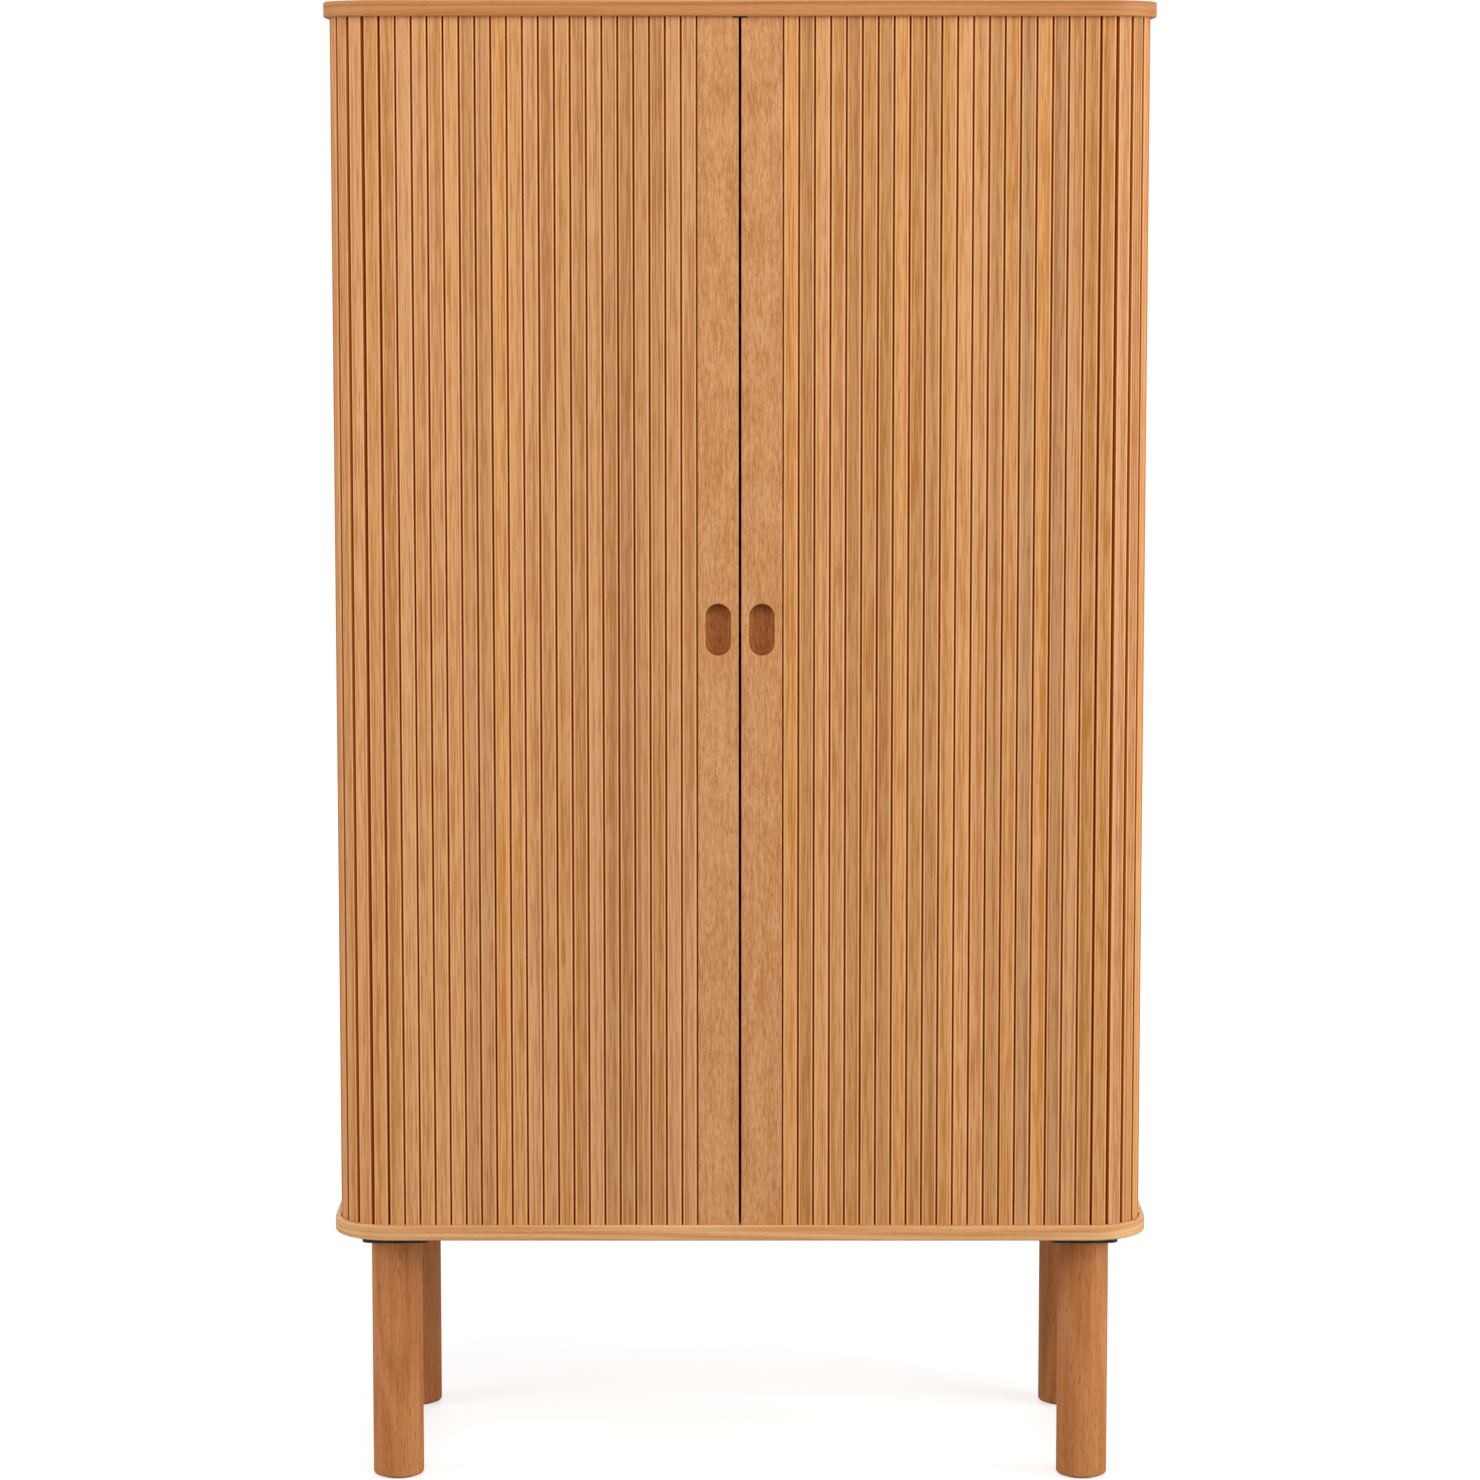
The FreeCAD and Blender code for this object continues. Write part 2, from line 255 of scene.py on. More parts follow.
@dataclass(frozen=True)
class OakFinish:
    """Oiled oak: growth rings, streaks, fine lines and short dark pores along the grain.

    A layer's size is its number of features to a metre, across the grain and along it. Shares
    change the base colour's three channels. A band is where a smooth step starts and ends. Relief
    is the strength of a bump and its depth.
    """

    name: str
    base: Colour
    run: GrainRun
    ring_contrast: float = 0.35
    streak_contrast: float = 1.3
    line_contrast: float = 0.9
    pore_strength: float = 0.4
    tone_spread: float = 0.0
    # How strongly the slats' rounded front edges get a painted highlight.
    painted_edge_highlight: float = 0.0
    routed: bool = False
    face_lift: Colour = (1.0, 1.0, 1.0)
    figure: Pair = (18.0, 2.2)
    streak: Pair = (230.0, 9.0)
    line: Pair = (760.0, 16.0)
    pore: Pair = (950.0, 95.0)
    cloud: Pair = (6.0, 1.5)
    cloud_contrast: float = 0.5
    ring_count: float = 46.0
    mean_shade: float = 0.4
    pale_shares: Colour = (1.11, 1.20, 1.36)
    dark_shares: Colour = (0.82, 0.70, 0.52)
    pore_shares: Colour = (0.42, 0.34, 0.26)
    pore_band: Pair = (0.55, 0.67)
    tone_shift: Point = (7.3, 3.1, 11.9)
    tint_turns: float = 7.77
    hue_spread: Pair = (0.4995, 0.502)
    saturation_spread: Pair = (0.97, 1.03)
    # Where the painted edge highlight starts and ends across a slat and its colour, then the painted
    # shade on the slats' sides and inner edges, in the gaps.
    painted_highlight_start: Pair = (0.70, 0.80)
    painted_highlight_end: Pair = (0.82, 0.895)
    painted_highlight_shares: Colour = (1.42, 1.75, 2.25)
    painted_gap_shade_band: Pair = (0.895, 0.945)
    painted_gap_shade_cover: float = 0.92
    painted_gap_shade_shares: Colour = (0.70, 0.31, 0.03)
    # The pull's darkening: partly oil-darkened routed wood, partly painted shade in its hollow.
    oil_and_shade_gamma: float = 1.68
    oil_and_shade_cover: float = 0.25
    oil_and_shade_colour: Colour = (0.05, 0.036, 0.003)
    level_band: Pair = (0.6, 0.95)
    line_height: float = 0.35
    relief: Pair = (0.25, 0.0002)
    specular: float = 0.25
    roughness: Pair = (0.46, 0.64)

    def material(self) -> bpy.types.Material:
        """Builds the finish.

        Returns:
            The oak material.
        """
        bench = ShaderBench(self.name)
        tone = bench.add("ShaderNodeAttribute", attribute_name=TONE_NAME).outputs["Fac"]
        place = bench.vector("MULTIPLY_ADD", tone, self.tone_shift, self._place(bench))
        figure = self._layer(bench, place, self.figure, detail=1.0)
        rings = bench.math("SINE", bench.math("MULTIPLY", figure, self.ring_count))
        streak = self._layer(bench, place, self.streak, detail=3.0)
        line = self._layer(bench, place, self.line, detail=2.0)
        pore = bench.between(self._layer(bench, place, self.pore, detail=2.0), *self.pore_band)
        cloud = self._layer(bench, place, self.cloud, detail=1.0)

        shade = bench.math("MULTIPLY_ADD", rings, self.ring_contrast / 2, self.mean_shade)
        for layer, contrast in (
            (streak, self.streak_contrast),
            (line, self.line_contrast),
            (cloud, self.cloud_contrast),
        ):
            centred = bench.math("SUBTRACT", layer, NOISE_MEAN)
            shade = bench.math("MULTIPLY_ADD", centred, contrast, shade)
        shade = bench.add("ShaderNodeClamp", {"Value": shade}).outputs[0]
        colour = bench.mix(shade, self._tinted(self.pale_shares), self._tinted(self.dark_shares))
        depth = bench.math("MULTIPLY", pore, self.pore_strength)
        colour = bench.mix(depth, colour, self._tinted(self.pore_shares))
        if self.tone_spread:
            colour = self._toned(bench, tone, colour)
        # Painted highlights on the slats' front edges and painted shade in the gaps between them.
        if self.painted_edge_highlight:
            colour = self._rubbed(bench, colour)
        # The routed pull darkened, partly by oil in the wood and partly by painted shade.
        if self.routed:
            colour = self._darken_pull_oil_and_shade(bench, colour)
        if max(self.face_lift) > 1.0:
            colour = self._lifted(bench, colour)

        height = bench.math("SUBTRACT", bench.math("MULTIPLY", line, self.line_height), pore)
        return bench.close(
            Base_Color=colour,
            Roughness=bench.spread(line, *self.roughness),
            Specular_IOR_Level=self.specular,
            Normal=bench.bump(height, *self.relief),
        )

    @staticmethod
    def _layer(
        bench: ShaderBench, place: bpy.types.NodeSocket, sizes: Pair, detail: float
    ) -> bpy.types.NodeSocket:
        """One layer of noise along the grain.

        Args:
            bench: the material that is being built.
            place: the point with the grain along its Z.
            sizes: how many features there are to a metre across the grain and along it.
            detail: the number of finer layers.

        Returns:
            The layer's value from 0 to 1.
        """
        return bench.noise(place, (sizes[0], sizes[0], sizes[1]), detail)

    def _tinted(self, shares: Colour) -> Colour:
        """The base colour with each channel changed by a share of its own."""
        return tuple(part * share for part, share in zip(self.base, shares))

    def _place(self, bench: ShaderBench) -> bpy.types.NodeSocket:
        """The point with the grain along its Z.

        Args:
            bench: the material that is being built.

        Returns:
            A point socket, in metres.
        """
        if self.run is GrainRun.WRAPPED:
            source = bench.add("ShaderNodeUVMap", uv_map=RUN_MAP).outputs[0]
        else:
            source = bench.add("ShaderNodeTexCoord").outputs["Object"]
        if self.run is GrainRun.UPRIGHT:
            return source
        parts = bench.add("ShaderNodeSeparateXYZ", {0: source}).outputs
        turned = {0: parts[1], 1: parts[2], 2: parts[0]}
        return bench.add("ShaderNodeCombineXYZ", turned).outputs[0]

    def _toned(
        self, bench: ShaderBench, tone: bpy.types.NodeSocket, colour: bpy.types.NodeSocket
    ) -> bpy.types.NodeSocket:
        """Gives each slat its own shade and tint.

        Args:
            bench: the material that is being built.
            tone: each slat's own number from 0 to 1.
            colour: the wood's colour so far.

        Returns:
            The toned colour.
        """
        tint = bench.math("FRACT", bench.math("MULTIPLY", tone, self.tint_turns))
        inputs = {
            "Hue": bench.spread(tint, *self.hue_spread),
            "Saturation": bench.spread(tint, *self.saturation_spread),
            "Value": bench.spread(tone, 1.0 - self.tone_spread, 1.0 + self.tone_spread),
            "Color": colour,
        }
        return bench.add("ShaderNodeHueSaturation", inputs).outputs[0]

    def _rubbed(self, bench: ShaderBench, colour: bpy.types.NodeSocket) -> bpy.types.NodeSocket:
        """Paints highlights on the slats' rounded front edges, and paints shade on their sides and inner
        edges, in the gaps between slats.

        Args:
            bench: the material that is being built.
            colour: the wood's colour so far.

        Returns:
            The colour with painted edge highlights and painted gap shade.
        """
        across = bench.add("ShaderNodeAttribute", attribute_name=ACROSS_NAME).outputs["Fac"]
        across = bench.math("ABSOLUTE", across)
        # A painted highlight along the rounded front edge.
        started = bench.between(across, *self.painted_highlight_start)
        edge = bench.math("SUBTRACT", started, bench.between(across, *self.painted_highlight_end))
        glow = bench.math("MULTIPLY", edge, self.painted_edge_highlight)
        colour = bench.mix(glow, colour, self._tinted(self.painted_highlight_shares))
        # Painted shade on the slat's sides and the inner edge of its rounding, in the gap.
        side = bench.math("MULTIPLY", bench.between(across, *self.painted_gap_shade_band), self.painted_gap_shade_cover)
        return bench.mix(side, colour, self._tinted(self.painted_gap_shade_shares))

    def _darken_pull_oil_and_shade(self, bench: ShaderBench, colour: bpy.types.NodeSocket) -> bpy.types.NodeSocket:
        """Darkens the routed pull, partly as oil-darkened wood and partly as painted shade in its hollow.

        Args:
            bench: the material that is being built.
            colour: the wood's colour so far.

        Returns:
            The colour with the pull darkened, partly by painted shade.
        """
        routed = bench.add("ShaderNodeAttribute", attribute_name=ROUTED_NAME).outputs["Fac"]
        inputs = {"Color": colour, "Gamma": bench.spread(routed, 1.0, self.oil_and_shade_gamma)}
        deep = bench.add("ShaderNodeGamma", inputs).outputs[0]
        return bench.mix(bench.math("MULTIPLY", routed, self.oil_and_shade_cover), deep, self.oil_and_shade_colour)

    def _lifted(self, bench: ShaderBench, colour: bpy.types.NodeSocket) -> bpy.types.NodeSocket:
        """Pales the level faces, which are long grain, and leaves the edges as they are.

        Args:
            bench: the material that is being built.
            colour: the wood's colour so far.

        Returns:
            The colour with paler faces.
        """
        normal = bench.add("ShaderNodeNewGeometry").outputs["Normal"]
        rise = bench.math("ABSOLUTE", bench.add("ShaderNodeSeparateXYZ", {0: normal}).outputs[2])
        lifted = bench.vector("MULTIPLY", colour, self.face_lift)
        return bench.mix(bench.between(rise, *self.level_band), colour, lifted)


@dataclass(frozen=True)
class CanvasFinish:
    """Plain woven cotton."""

    name: str = "cotton_canvas"
    warp: Colour = (0.230, 0.088, 0.020)
    weft: Colour = (0.165, 0.062, 0.013)
    thread: float = 0.0011
    fuzz_size: Point = (900.0, 900.0, 1.0)
    fuzz_cover: float = 0.35
    relief: Pair = (0.5, 0.0003)
    specular: float = 0.2
    roughness: float = 0.92

    def material(self) -> bpy.types.Material:
        """Builds the weave from two crossing rows of threads.

        Returns:
            The canvas material.
        """
        bench = ShaderBench(self.name)
        run = bench.add("ShaderNodeUVMap", uv_map=RUN_MAP).outputs[0]
        parts = bench.add("ShaderNodeSeparateXYZ", {0: run}).outputs
        waves = []
        for index in range(2):
            angle = bench.math("MULTIPLY", parts[index], math.pi / self.thread)
            waves.append(bench.math("SINE", angle))
        over = bench.math("MULTIPLY", *waves)
        # The product runs from -1 to 1 and the height from 0 to 1.
        height = bench.math("MULTIPLY_ADD", over, 0.5, 0.5)
        colour = bench.mix(height, self.weft, self.warp)
        fuzz = bench.math("MULTIPLY", bench.noise(run, self.fuzz_size), self.fuzz_cover)
        colour = bench.mix(fuzz, colour, self.warp)
        return bench.close(
            Base_Color=colour,
            Roughness=self.roughness,
            Specular_IOR_Level=self.specular,
            Normal=bench.bump(height, *self.relief),
        )


@dataclass(frozen=True)
class MouldedFinish:
    """Moulded plastic with a fine spark-eroded texture."""

    name: str
    colour: Colour
    worn: Colour
    grit_size: float = 2400.0
    cloud_size: float = 60.0
    relief: Pair = (0.2, 0.0001)
    specular: float = 0.4
    roughness: Pair = (0.42, 0.6)

    def material(self) -> bpy.types.Material:
        """Builds the finish.

        Returns:
            The plastic material.
        """
        bench = ShaderBench(self.name)
        place = bench.add("ShaderNodeTexCoord").outputs["Object"]
        grit = bench.noise(place, (self.grit_size,) * 3)
        cloud = bench.noise(place, (self.cloud_size,) * 3)
        return bench.close(
            Base_Color=bench.mix(cloud, self.colour, self.worn),
            Roughness=bench.spread(grit, *self.roughness),
            Specular_IOR_Level=self.specular,
            Normal=bench.bump(grit, *self.relief),
        )


@dataclass(frozen=True)
class SteelFinish:
    """Plain zinc-plated steel with faint drawing marks."""

    name: str = "zinc_steel"
    bright: Colour = (0.62, 0.62, 0.60)
    dull: Colour = (0.42, 0.42, 0.41)
    mark_size: Point = (3000.0, 300.0, 3000.0)
    relief: Pair = (0.1, 0.00005)
    roughness: Pair = (0.28, 0.45)

    def material(self) -> bpy.types.Material:
        """Builds the finish.

        Returns:
            The steel material.
        """
        bench = ShaderBench(self.name)
        place = bench.add("ShaderNodeTexCoord").outputs["Object"]
        marks = bench.noise(place, self.mark_size)
        return bench.close(
            Base_Color=bench.mix(marks, self.dull, self.bright),
            Metallic=1.0,
            Roughness=bench.spread(marks, *self.roughness),
            Normal=bench.bump(marks, *self.relief),
        )


@dataclass(frozen=True)
class Finishes:
    """Every material of the cabinet, made once."""

    top: bpy.types.Material
    bottom: bpy.types.Material
    slat: bpy.types.Material
    rail: bpy.types.Material
    leg: bpy.types.Material
    board: bpy.types.Material
    shelf: bpy.types.Material
    back: bpy.types.Material
    canvas: bpy.types.Material
    black: bpy.types.Material
    glide: bpy.types.Material
    steel: bpy.types.Material

    @classmethod
    def make(cls) -> Finishes:
        """Builds all the finishes.

        Returns:
            The finished set.
        """
        upright, sideways, wrapped = GrainRun.UPRIGHT, GrainRun.SIDEWAYS, GrainRun.WRAPPED
        edge = {"ring_contrast": 0.6, "pore_strength": 0.2, "figure": (40.0, 0.9), "streak": (420.0, 4.0)}
        plain = {"figure": (8.0, 0.8)}
        veneer = (0.55, 0.30, 0.135)
        top = OakFinish("oak_top", (0.525, 0.211, 0.064), wrapped, face_lift=(1.10, 1.22, 1.38), **edge)
        bottom = OakFinish("oak_bottom", (0.715, 0.378, 0.157), wrapped, **edge)
        slat = OakFinish(
            "oak_slat",
            (0.595, 0.270, 0.093),
            upright,
            ring_contrast=0.18,
            streak_contrast=3.6,
            line_contrast=3.5,
            pore_strength=0.26,
            tone_spread=0.17,
            # Painted highlights on the front edges and painted shade in the gaps.
            painted_edge_highlight=0.95,
            figure=(18.0, 0.7),
            streak=(380.0, 1.2),
            line=(640.0, 22.0),
            pore=(900.0, 45.0),
        )
        rail = OakFinish(
            "oak_rail",
            (0.61, 0.284, 0.107),
            upright,
            ring_contrast=0.22,
            streak_contrast=1.2,
            line_contrast=2.6,
            pore_strength=0.40,
            # The pull darkened, partly by oil and partly by painted shade.
            routed=True,
            figure=(12.0, 4.0),
            line=(780.0, 85.0),
            pore=(1050.0, 160.0),
        )
        leg = OakFinish("oak_leg", (0.53, 0.201, 0.059), upright, ring_contrast=0.5, pore_strength=0.5)
        board = OakFinish("oak_veneer_upright", veneer, upright, **plain)
        shelf = OakFinish("oak_veneer_sideways", veneer, sideways, **plain)
        back = OakFinish("plywood_back", (0.56, 0.315, 0.145), upright, pore_strength=0.15, **plain)
        black = MouldedFinish("black_plastic", (0.010, 0.010, 0.011), (0.022, 0.022, 0.023))
        glide = MouldedFinish("glide_plastic", (0.05, 0.042, 0.036), (0.08, 0.07, 0.06))
        return cls(
            top=top.material(),
            bottom=bottom.material(),
            slat=slat.material(),
            rail=rail.material(),
            leg=leg.material(),
            board=board.material(),
            shelf=shelf.material(),
            back=back.material(),
            canvas=CanvasFinish().material(),
            black=black.material(),
            glide=glide.material(),
            steel=SteelFinish().material(),
        )


class Maker:
    """Turns meshes into finished pieces that ride on the frame."""

    @staticmethod
    def link(name: str, data: bpy.types.ID) -> bpy.types.Object:
        """Puts a mesh, a light or a camera in the scene as an object at the origin."""
        piece = bpy.data.objects.new(name, data)
        bpy.context.scene.collection.objects.link(piece)
        return piece

    @staticmethod
    def from_points(
        name: str, points: list[Point], edges: list[tuple[int, int]]
    ) -> bpy.types.Object:
        """Makes an object of loose points and edges, for a tree to set copies on.

        Args:
            name: the piece's name.
            points: the points.
            edges: pairs of the points' numbers.

        Returns:
            The object, linked to the scene.
        """
        mesh = bpy.data.meshes.new(name)
        mesh.from_pydata(points, edges, [])
        return Maker.link(name, mesh)

    @staticmethod
    def from_bmesh(name: str, shape: bmesh.types.BMesh) -> bpy.types.Object:
        """Makes an object of a mesh under construction.

        Args:
            name: the piece's name.
            shape: the mesh, which is used up.

        Returns:
            The object, linked to the scene.
        """
        mesh = bpy.data.meshes.new(name)
        shape.to_mesh(mesh)
        shape.free()
        return Maker.link(name, mesh)

    @staticmethod
    def closed_piece(name: str, shape: bmesh.types.BMesh) -> bpy.types.Object:
        """Makes an object of a closed mesh, with its doubles merged and its faces outwards.

        Args:
            name: the piece's name.
            shape: the mesh, which is used up.

        Returns:
            The object, linked to the scene.
        """
        bmesh.ops.remove_doubles(shape, verts=shape.verts, dist=MERGE_DISTANCE)
        bmesh.ops.dissolve_degenerate(shape, edges=shape.edges, dist=MERGE_DISTANCE)
        bmesh.ops.recalc_face_normals(shape, faces=shape.faces)
        return Maker.from_bmesh(name, shape)

    @staticmethod
    def bridge(shape: bmesh.types.BMesh, rings: list[list[bmesh.types.BMVert]]) -> None:
        """Joins each ring of points to the next one by a band of faces.

        Args:
            shape: the mesh, changed in place.
            rings: closed rings with as many points each.
        """
        for near, far in zip(rings, rings[1:]):
            for index in range(len(near)):
                after = (index + 1) % len(near)
                shape.faces.new((near[index], near[after], far[after], far[index]))

    @staticmethod
    def settle(piece: bpy.types.Object) -> None:
        """Turns a piece's modifiers into plain mesh and removes them.

        Args:
            piece: the object, changed in place.
        """
        depsgraph = bpy.context.evaluated_depsgraph_get()
        evaluated = piece.evaluated_get(depsgraph)
        settled = bpy.data.meshes.new_from_object(evaluated, depsgraph=depsgraph)
        piece.modifiers.clear()
        piece.data = settled

    @staticmethod
    def smooth(piece: bpy.types.Object) -> None:
        """Shades round edges smoothly and keeps flat faces flat.

        Args:
            piece: the object, changed in place.
        """
        piece.data.shade_smooth()
        piece.data.set_sharp_from_angle(angle=SHARP_ANGLE)
        weighted = piece.modifiers.new("flat_faces", "WEIGHTED_NORMAL")
        weighted.keep_sharp = True
        Maker.settle(piece)

    @staticmethod
    def dress(
        piece: bpy.types.Object, material: bpy.types.Material, slot: str, body: str, *nodes: str
    ) -> None:
        """Gives a piece its finish and its place in the frame.

        Args:
            piece: the object.
            material: its finish.
            slot: the record's name of the finish; not used.
            body: the body that it moves with.
            nodes: the solids that it stands for.
        """
        piece.data.materials.clear()
        piece.data.materials.append(material)
        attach(piece, body)
        if nodes:
            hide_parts(*nodes)
        LOG.info("%s: %d faces", piece.name, len(piece.data.polygons))

    @staticmethod
    def eased_copy(node: str, name: str, easing: float) -> bpy.types.Object:
        """A copy of a solid with its edges rounded off.

        Args:
            node: the solid's name.
            name: the new piece's name.
            easing: how far the rounding reaches from each edge.

        Returns:
            The object, linked to the scene.
        """
        shape = bmesh.new()
        shape.from_mesh(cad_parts[node].data)
        bmesh.ops.remove_doubles(shape, verts=shape.verts, dist=SOLID_MERGE_DISTANCE)
        bmesh.ops.dissolve_limit(
            shape, angle_limit=FLAT_ANGLE, verts=shape.verts, edges=shape.edges
        )
        piece = Maker.from_bmesh(name, shape)
        piece.data.shade_smooth()
        piece.data.set_sharp_from_angle(angle=EASED_ANGLE)
        rounded = piece.modifiers.new("eased", "BEVEL")
        rounded.width = easing
        rounded.segments = EASING_STEPS
        rounded.limit_method = "ANGLE"
        rounded.angle_limit = EASED_ANGLE
        rounded.harden_normals = True
        Maker.settle(piece)
        return piece

    @staticmethod
    def lay_run_map(piece: bpy.types.Object, run: Callable[[Vector, Vector], Pair]) -> None:
        """Writes the UV map that a pattern follows.

        Args:
            piece: the object.
            run: a function of a corner's point and its face's normal that gives the two UV values.
        """
        layer = piece.data.uv_layers.new(name=RUN_MAP)
        for face in piece.data.polygons:
            for loop in face.loop_indices:
                point = piece.data.vertices[piece.data.loops[loop].vertex_index].co
                layer.data[loop].uv = run(point, face.normal)


class TreeBench(NodeBench):
    """A new Geometry Nodes tree with named inputs."""

    def __init__(self, name: str) -> None:
        """Makes a tree that takes and gives geometry.

        Args:
            name: the tree's name.
        """
        super().__init__(bpy.data.node_groups.new(name, "GeometryNodeTree"))
        self.identifiers: dict[str, str] = {}
        self.tree.interface.new_socket("Geometry", in_out="INPUT", socket_type="NodeSocketGeometry")
        self.tree.interface.new_socket("Geometry", in_out="OUTPUT", socket_type="NodeSocketGeometry")
        self.start = self.tree.nodes.new("NodeGroupInput")
        self.end = self.tree.nodes.new("NodeGroupOutput")

    def take(self, name: str, kind: str) -> bpy.types.NodeSocket:
        """Adds a named input.

        Args:
            name: the input's name.
            kind: its socket type.

        Returns:
            The socket that holds the input inside the tree.
        """
        item = self.tree.interface.new_socket(name, in_out="INPUT", socket_type=kind)
        self.identifiers[name] = item.identifier
        return self.start.outputs[name]

    def finish(self, instances: bpy.types.NodeSocket, material: bpy.types.NodeSocket) -> None:
        """Ends the tree in plain geometry with its finish set.

        Args:
            instances: what the tree has made.
            material: the finish.
        """
        real = self.add("GeometryNodeRealizeInstances", {"Geometry": instances}).outputs[0]
        dressed = self.add("GeometryNodeSetMaterial", {"Geometry": real, "Material": material})
        self.tree.links.new(dressed.outputs[0], self.end.inputs[0])

    def run(self, piece: bpy.types.Object, values: dict[str, object]) -> None:
        """Runs the tree on an object and keeps the result as plain mesh.

        Args:
            piece: the object, changed in place.
            values: the tree's inputs by name.
        """
        modifier = piece.modifiers.new(self.tree.name, "NODES")
        modifier.node_group = self.tree
        for name, value in values.items():
            modifier[self.identifiers[name]] = value
        Maker.settle(piece)


class SlatTree(TreeBench):
    """Sets one slat on each edge of a chain of slat joints."""

    FILLET_STEPS: int = 5

    def __init__(self) -> None:
        """Builds the tree."""
        super().__init__("slat_row")
        width = self.take("Slat Width", "NodeSocketFloat")
        thickness = self.take("Slat Thickness", "NodeSocketFloat")
        rounding = self.take("Edge Rounding", "NodeSocketFloat")
        low = self.take("Slat Low", "NodeSocketFloat")
        high = self.take("Slat High", "NodeSocketFloat")
        seed = self.take("Seed", "NodeSocketInt")
        material = self.take("Finish", "NodeSocketMaterial")
        slat = self._slat(width, thickness, rounding, low, high)
        placed = self._placed(slat, seed)
        self.finish(placed, material)

    def _slat(self, *sizes: bpy.types.NodeSocket) -> bpy.types.NodeSocket:
        """One upright slat with round front edges and its back on the X axis.

        Args:
            sizes: width, thickness, rounding, low end and high end.

        Returns:
            The slat's mesh.
        """
        width, thickness, rounding, low, high = sizes
        sides = {"Width": width, "Height": thickness}
        section = self.add("GeometryNodeCurvePrimitiveQuadrilateral", sides).outputs[0]
        position = self.add("GeometryNodeInputPosition").outputs[0]
        across = self.add("ShaderNodeSeparateXYZ", {0: position})
        is_front = self.math("LESS_THAN", across.outputs[1], 0.0)
        radius = self.math("MAXIMUM", self.math("MULTIPLY", rounding, is_front), MERGE_DISTANCE)
        rounded = self.add(
            "GeometryNodeFilletCurve",
            {"Curve": section, "Count": self.FILLET_STEPS, "Radius": radius},
            mode="POLY",
        )
        face = self.add("GeometryNodeFillCurve", {"Curve": rounded.outputs[0]}, mode="NGONS")
        length = self.math("SUBTRACT", high, low)
        body = self.add(
            "GeometryNodeExtrudeMesh",
            {
                "Mesh": face.outputs[0],
                "Offset": (0.0, 0.0, 1.0),
                "Offset Scale": length,
                "Individual": False,
            },
            mode="FACES",
        )
        under = self.add("GeometryNodeFlipFaces", {"Mesh": face.outputs[0]})
        joined = self.add("GeometryNodeJoinGeometry", {0: body.outputs[0]})
        self.tree.links.new(under.outputs[0], joined.inputs[0])
        merged = self.add(
            "GeometryNodeMergeByDistance",
            {"Geometry": joined.outputs[0], "Distance": SOLID_MERGE_DISTANCE},
        )
        # Each point's place across the slat, which places the painted edge highlight and the painted gap
        # shade.
        half_width = self.math("MULTIPLY", width, 0.5)
        marked = self.add(
            "GeometryNodeStoreNamedAttribute",
            {
                "Geometry": merged.outputs[0],
                "Name": ACROSS_NAME,
                "Value": self.math("DIVIDE", across.outputs[0], half_width),
            },
            data_type="FLOAT",
            domain="POINT",
        )
        half_back = self.math("MULTIPLY", thickness, -0.5)
        shift = self.add("ShaderNodeCombineXYZ", {1: half_back, 2: low})
        moved = self.add(
            "GeometryNodeTransform", {"Geometry": marked.outputs[0], "Translation": shift.outputs[0]}
        )
        return moved.outputs[0]

    def _placed(self, slat: bpy.types.NodeSocket, seed: bpy.types.NodeSocket) -> bpy.types.NodeSocket:
        """Copies the slat to the middle of every edge of the chain, along the edge.

        Args:
            slat: the slat's mesh.
            seed: the seed of the slats' tones.

        Returns:
            The slats as instances, each with its own tone.
        """
        ends = self.add("GeometryNodeInputMeshEdgeVertices")
        along = self.add(
            "ShaderNodeVectorMath",
            {0: ends.outputs["Position 2"], 1: ends.outputs["Position 1"]},
            operation="SUBTRACT",
        )
        chain = self.start.outputs["Geometry"]
        kept = self.add("GeometryNodeCaptureAttribute", {"Geometry": chain}, domain="EDGE")
        kept.capture_items.new("VECTOR", "Along")
        self.tree.links.new(along.outputs[0], kept.inputs["Along"])
        points = self.add("GeometryNodeMeshToPoints", {"Mesh": kept.outputs["Geometry"]}, mode="EDGES")
        turn = self.add(
            "FunctionNodeAlignRotationToVector",
            {"Vector": kept.outputs["Along"]},
            axis="X",
            pivot_axis="Z",
        )
        copies = self.add(
            "GeometryNodeInstanceOnPoints",
            {"Points": points.outputs[0], "Instance": slat, "Rotation": turn.outputs[0]},
        )
        tone = self.add("FunctionNodeRandomValue", {"Seed": seed}, data_type="FLOAT")
        toned = self.add(
            "GeometryNodeStoreNamedAttribute",
            {"Geometry": copies.outputs[0], "Name": TONE_NAME, "Value": tone.outputs[1]},
            data_type="FLOAT",
            domain="INSTANCE",
        )
        return toned.outputs[0]


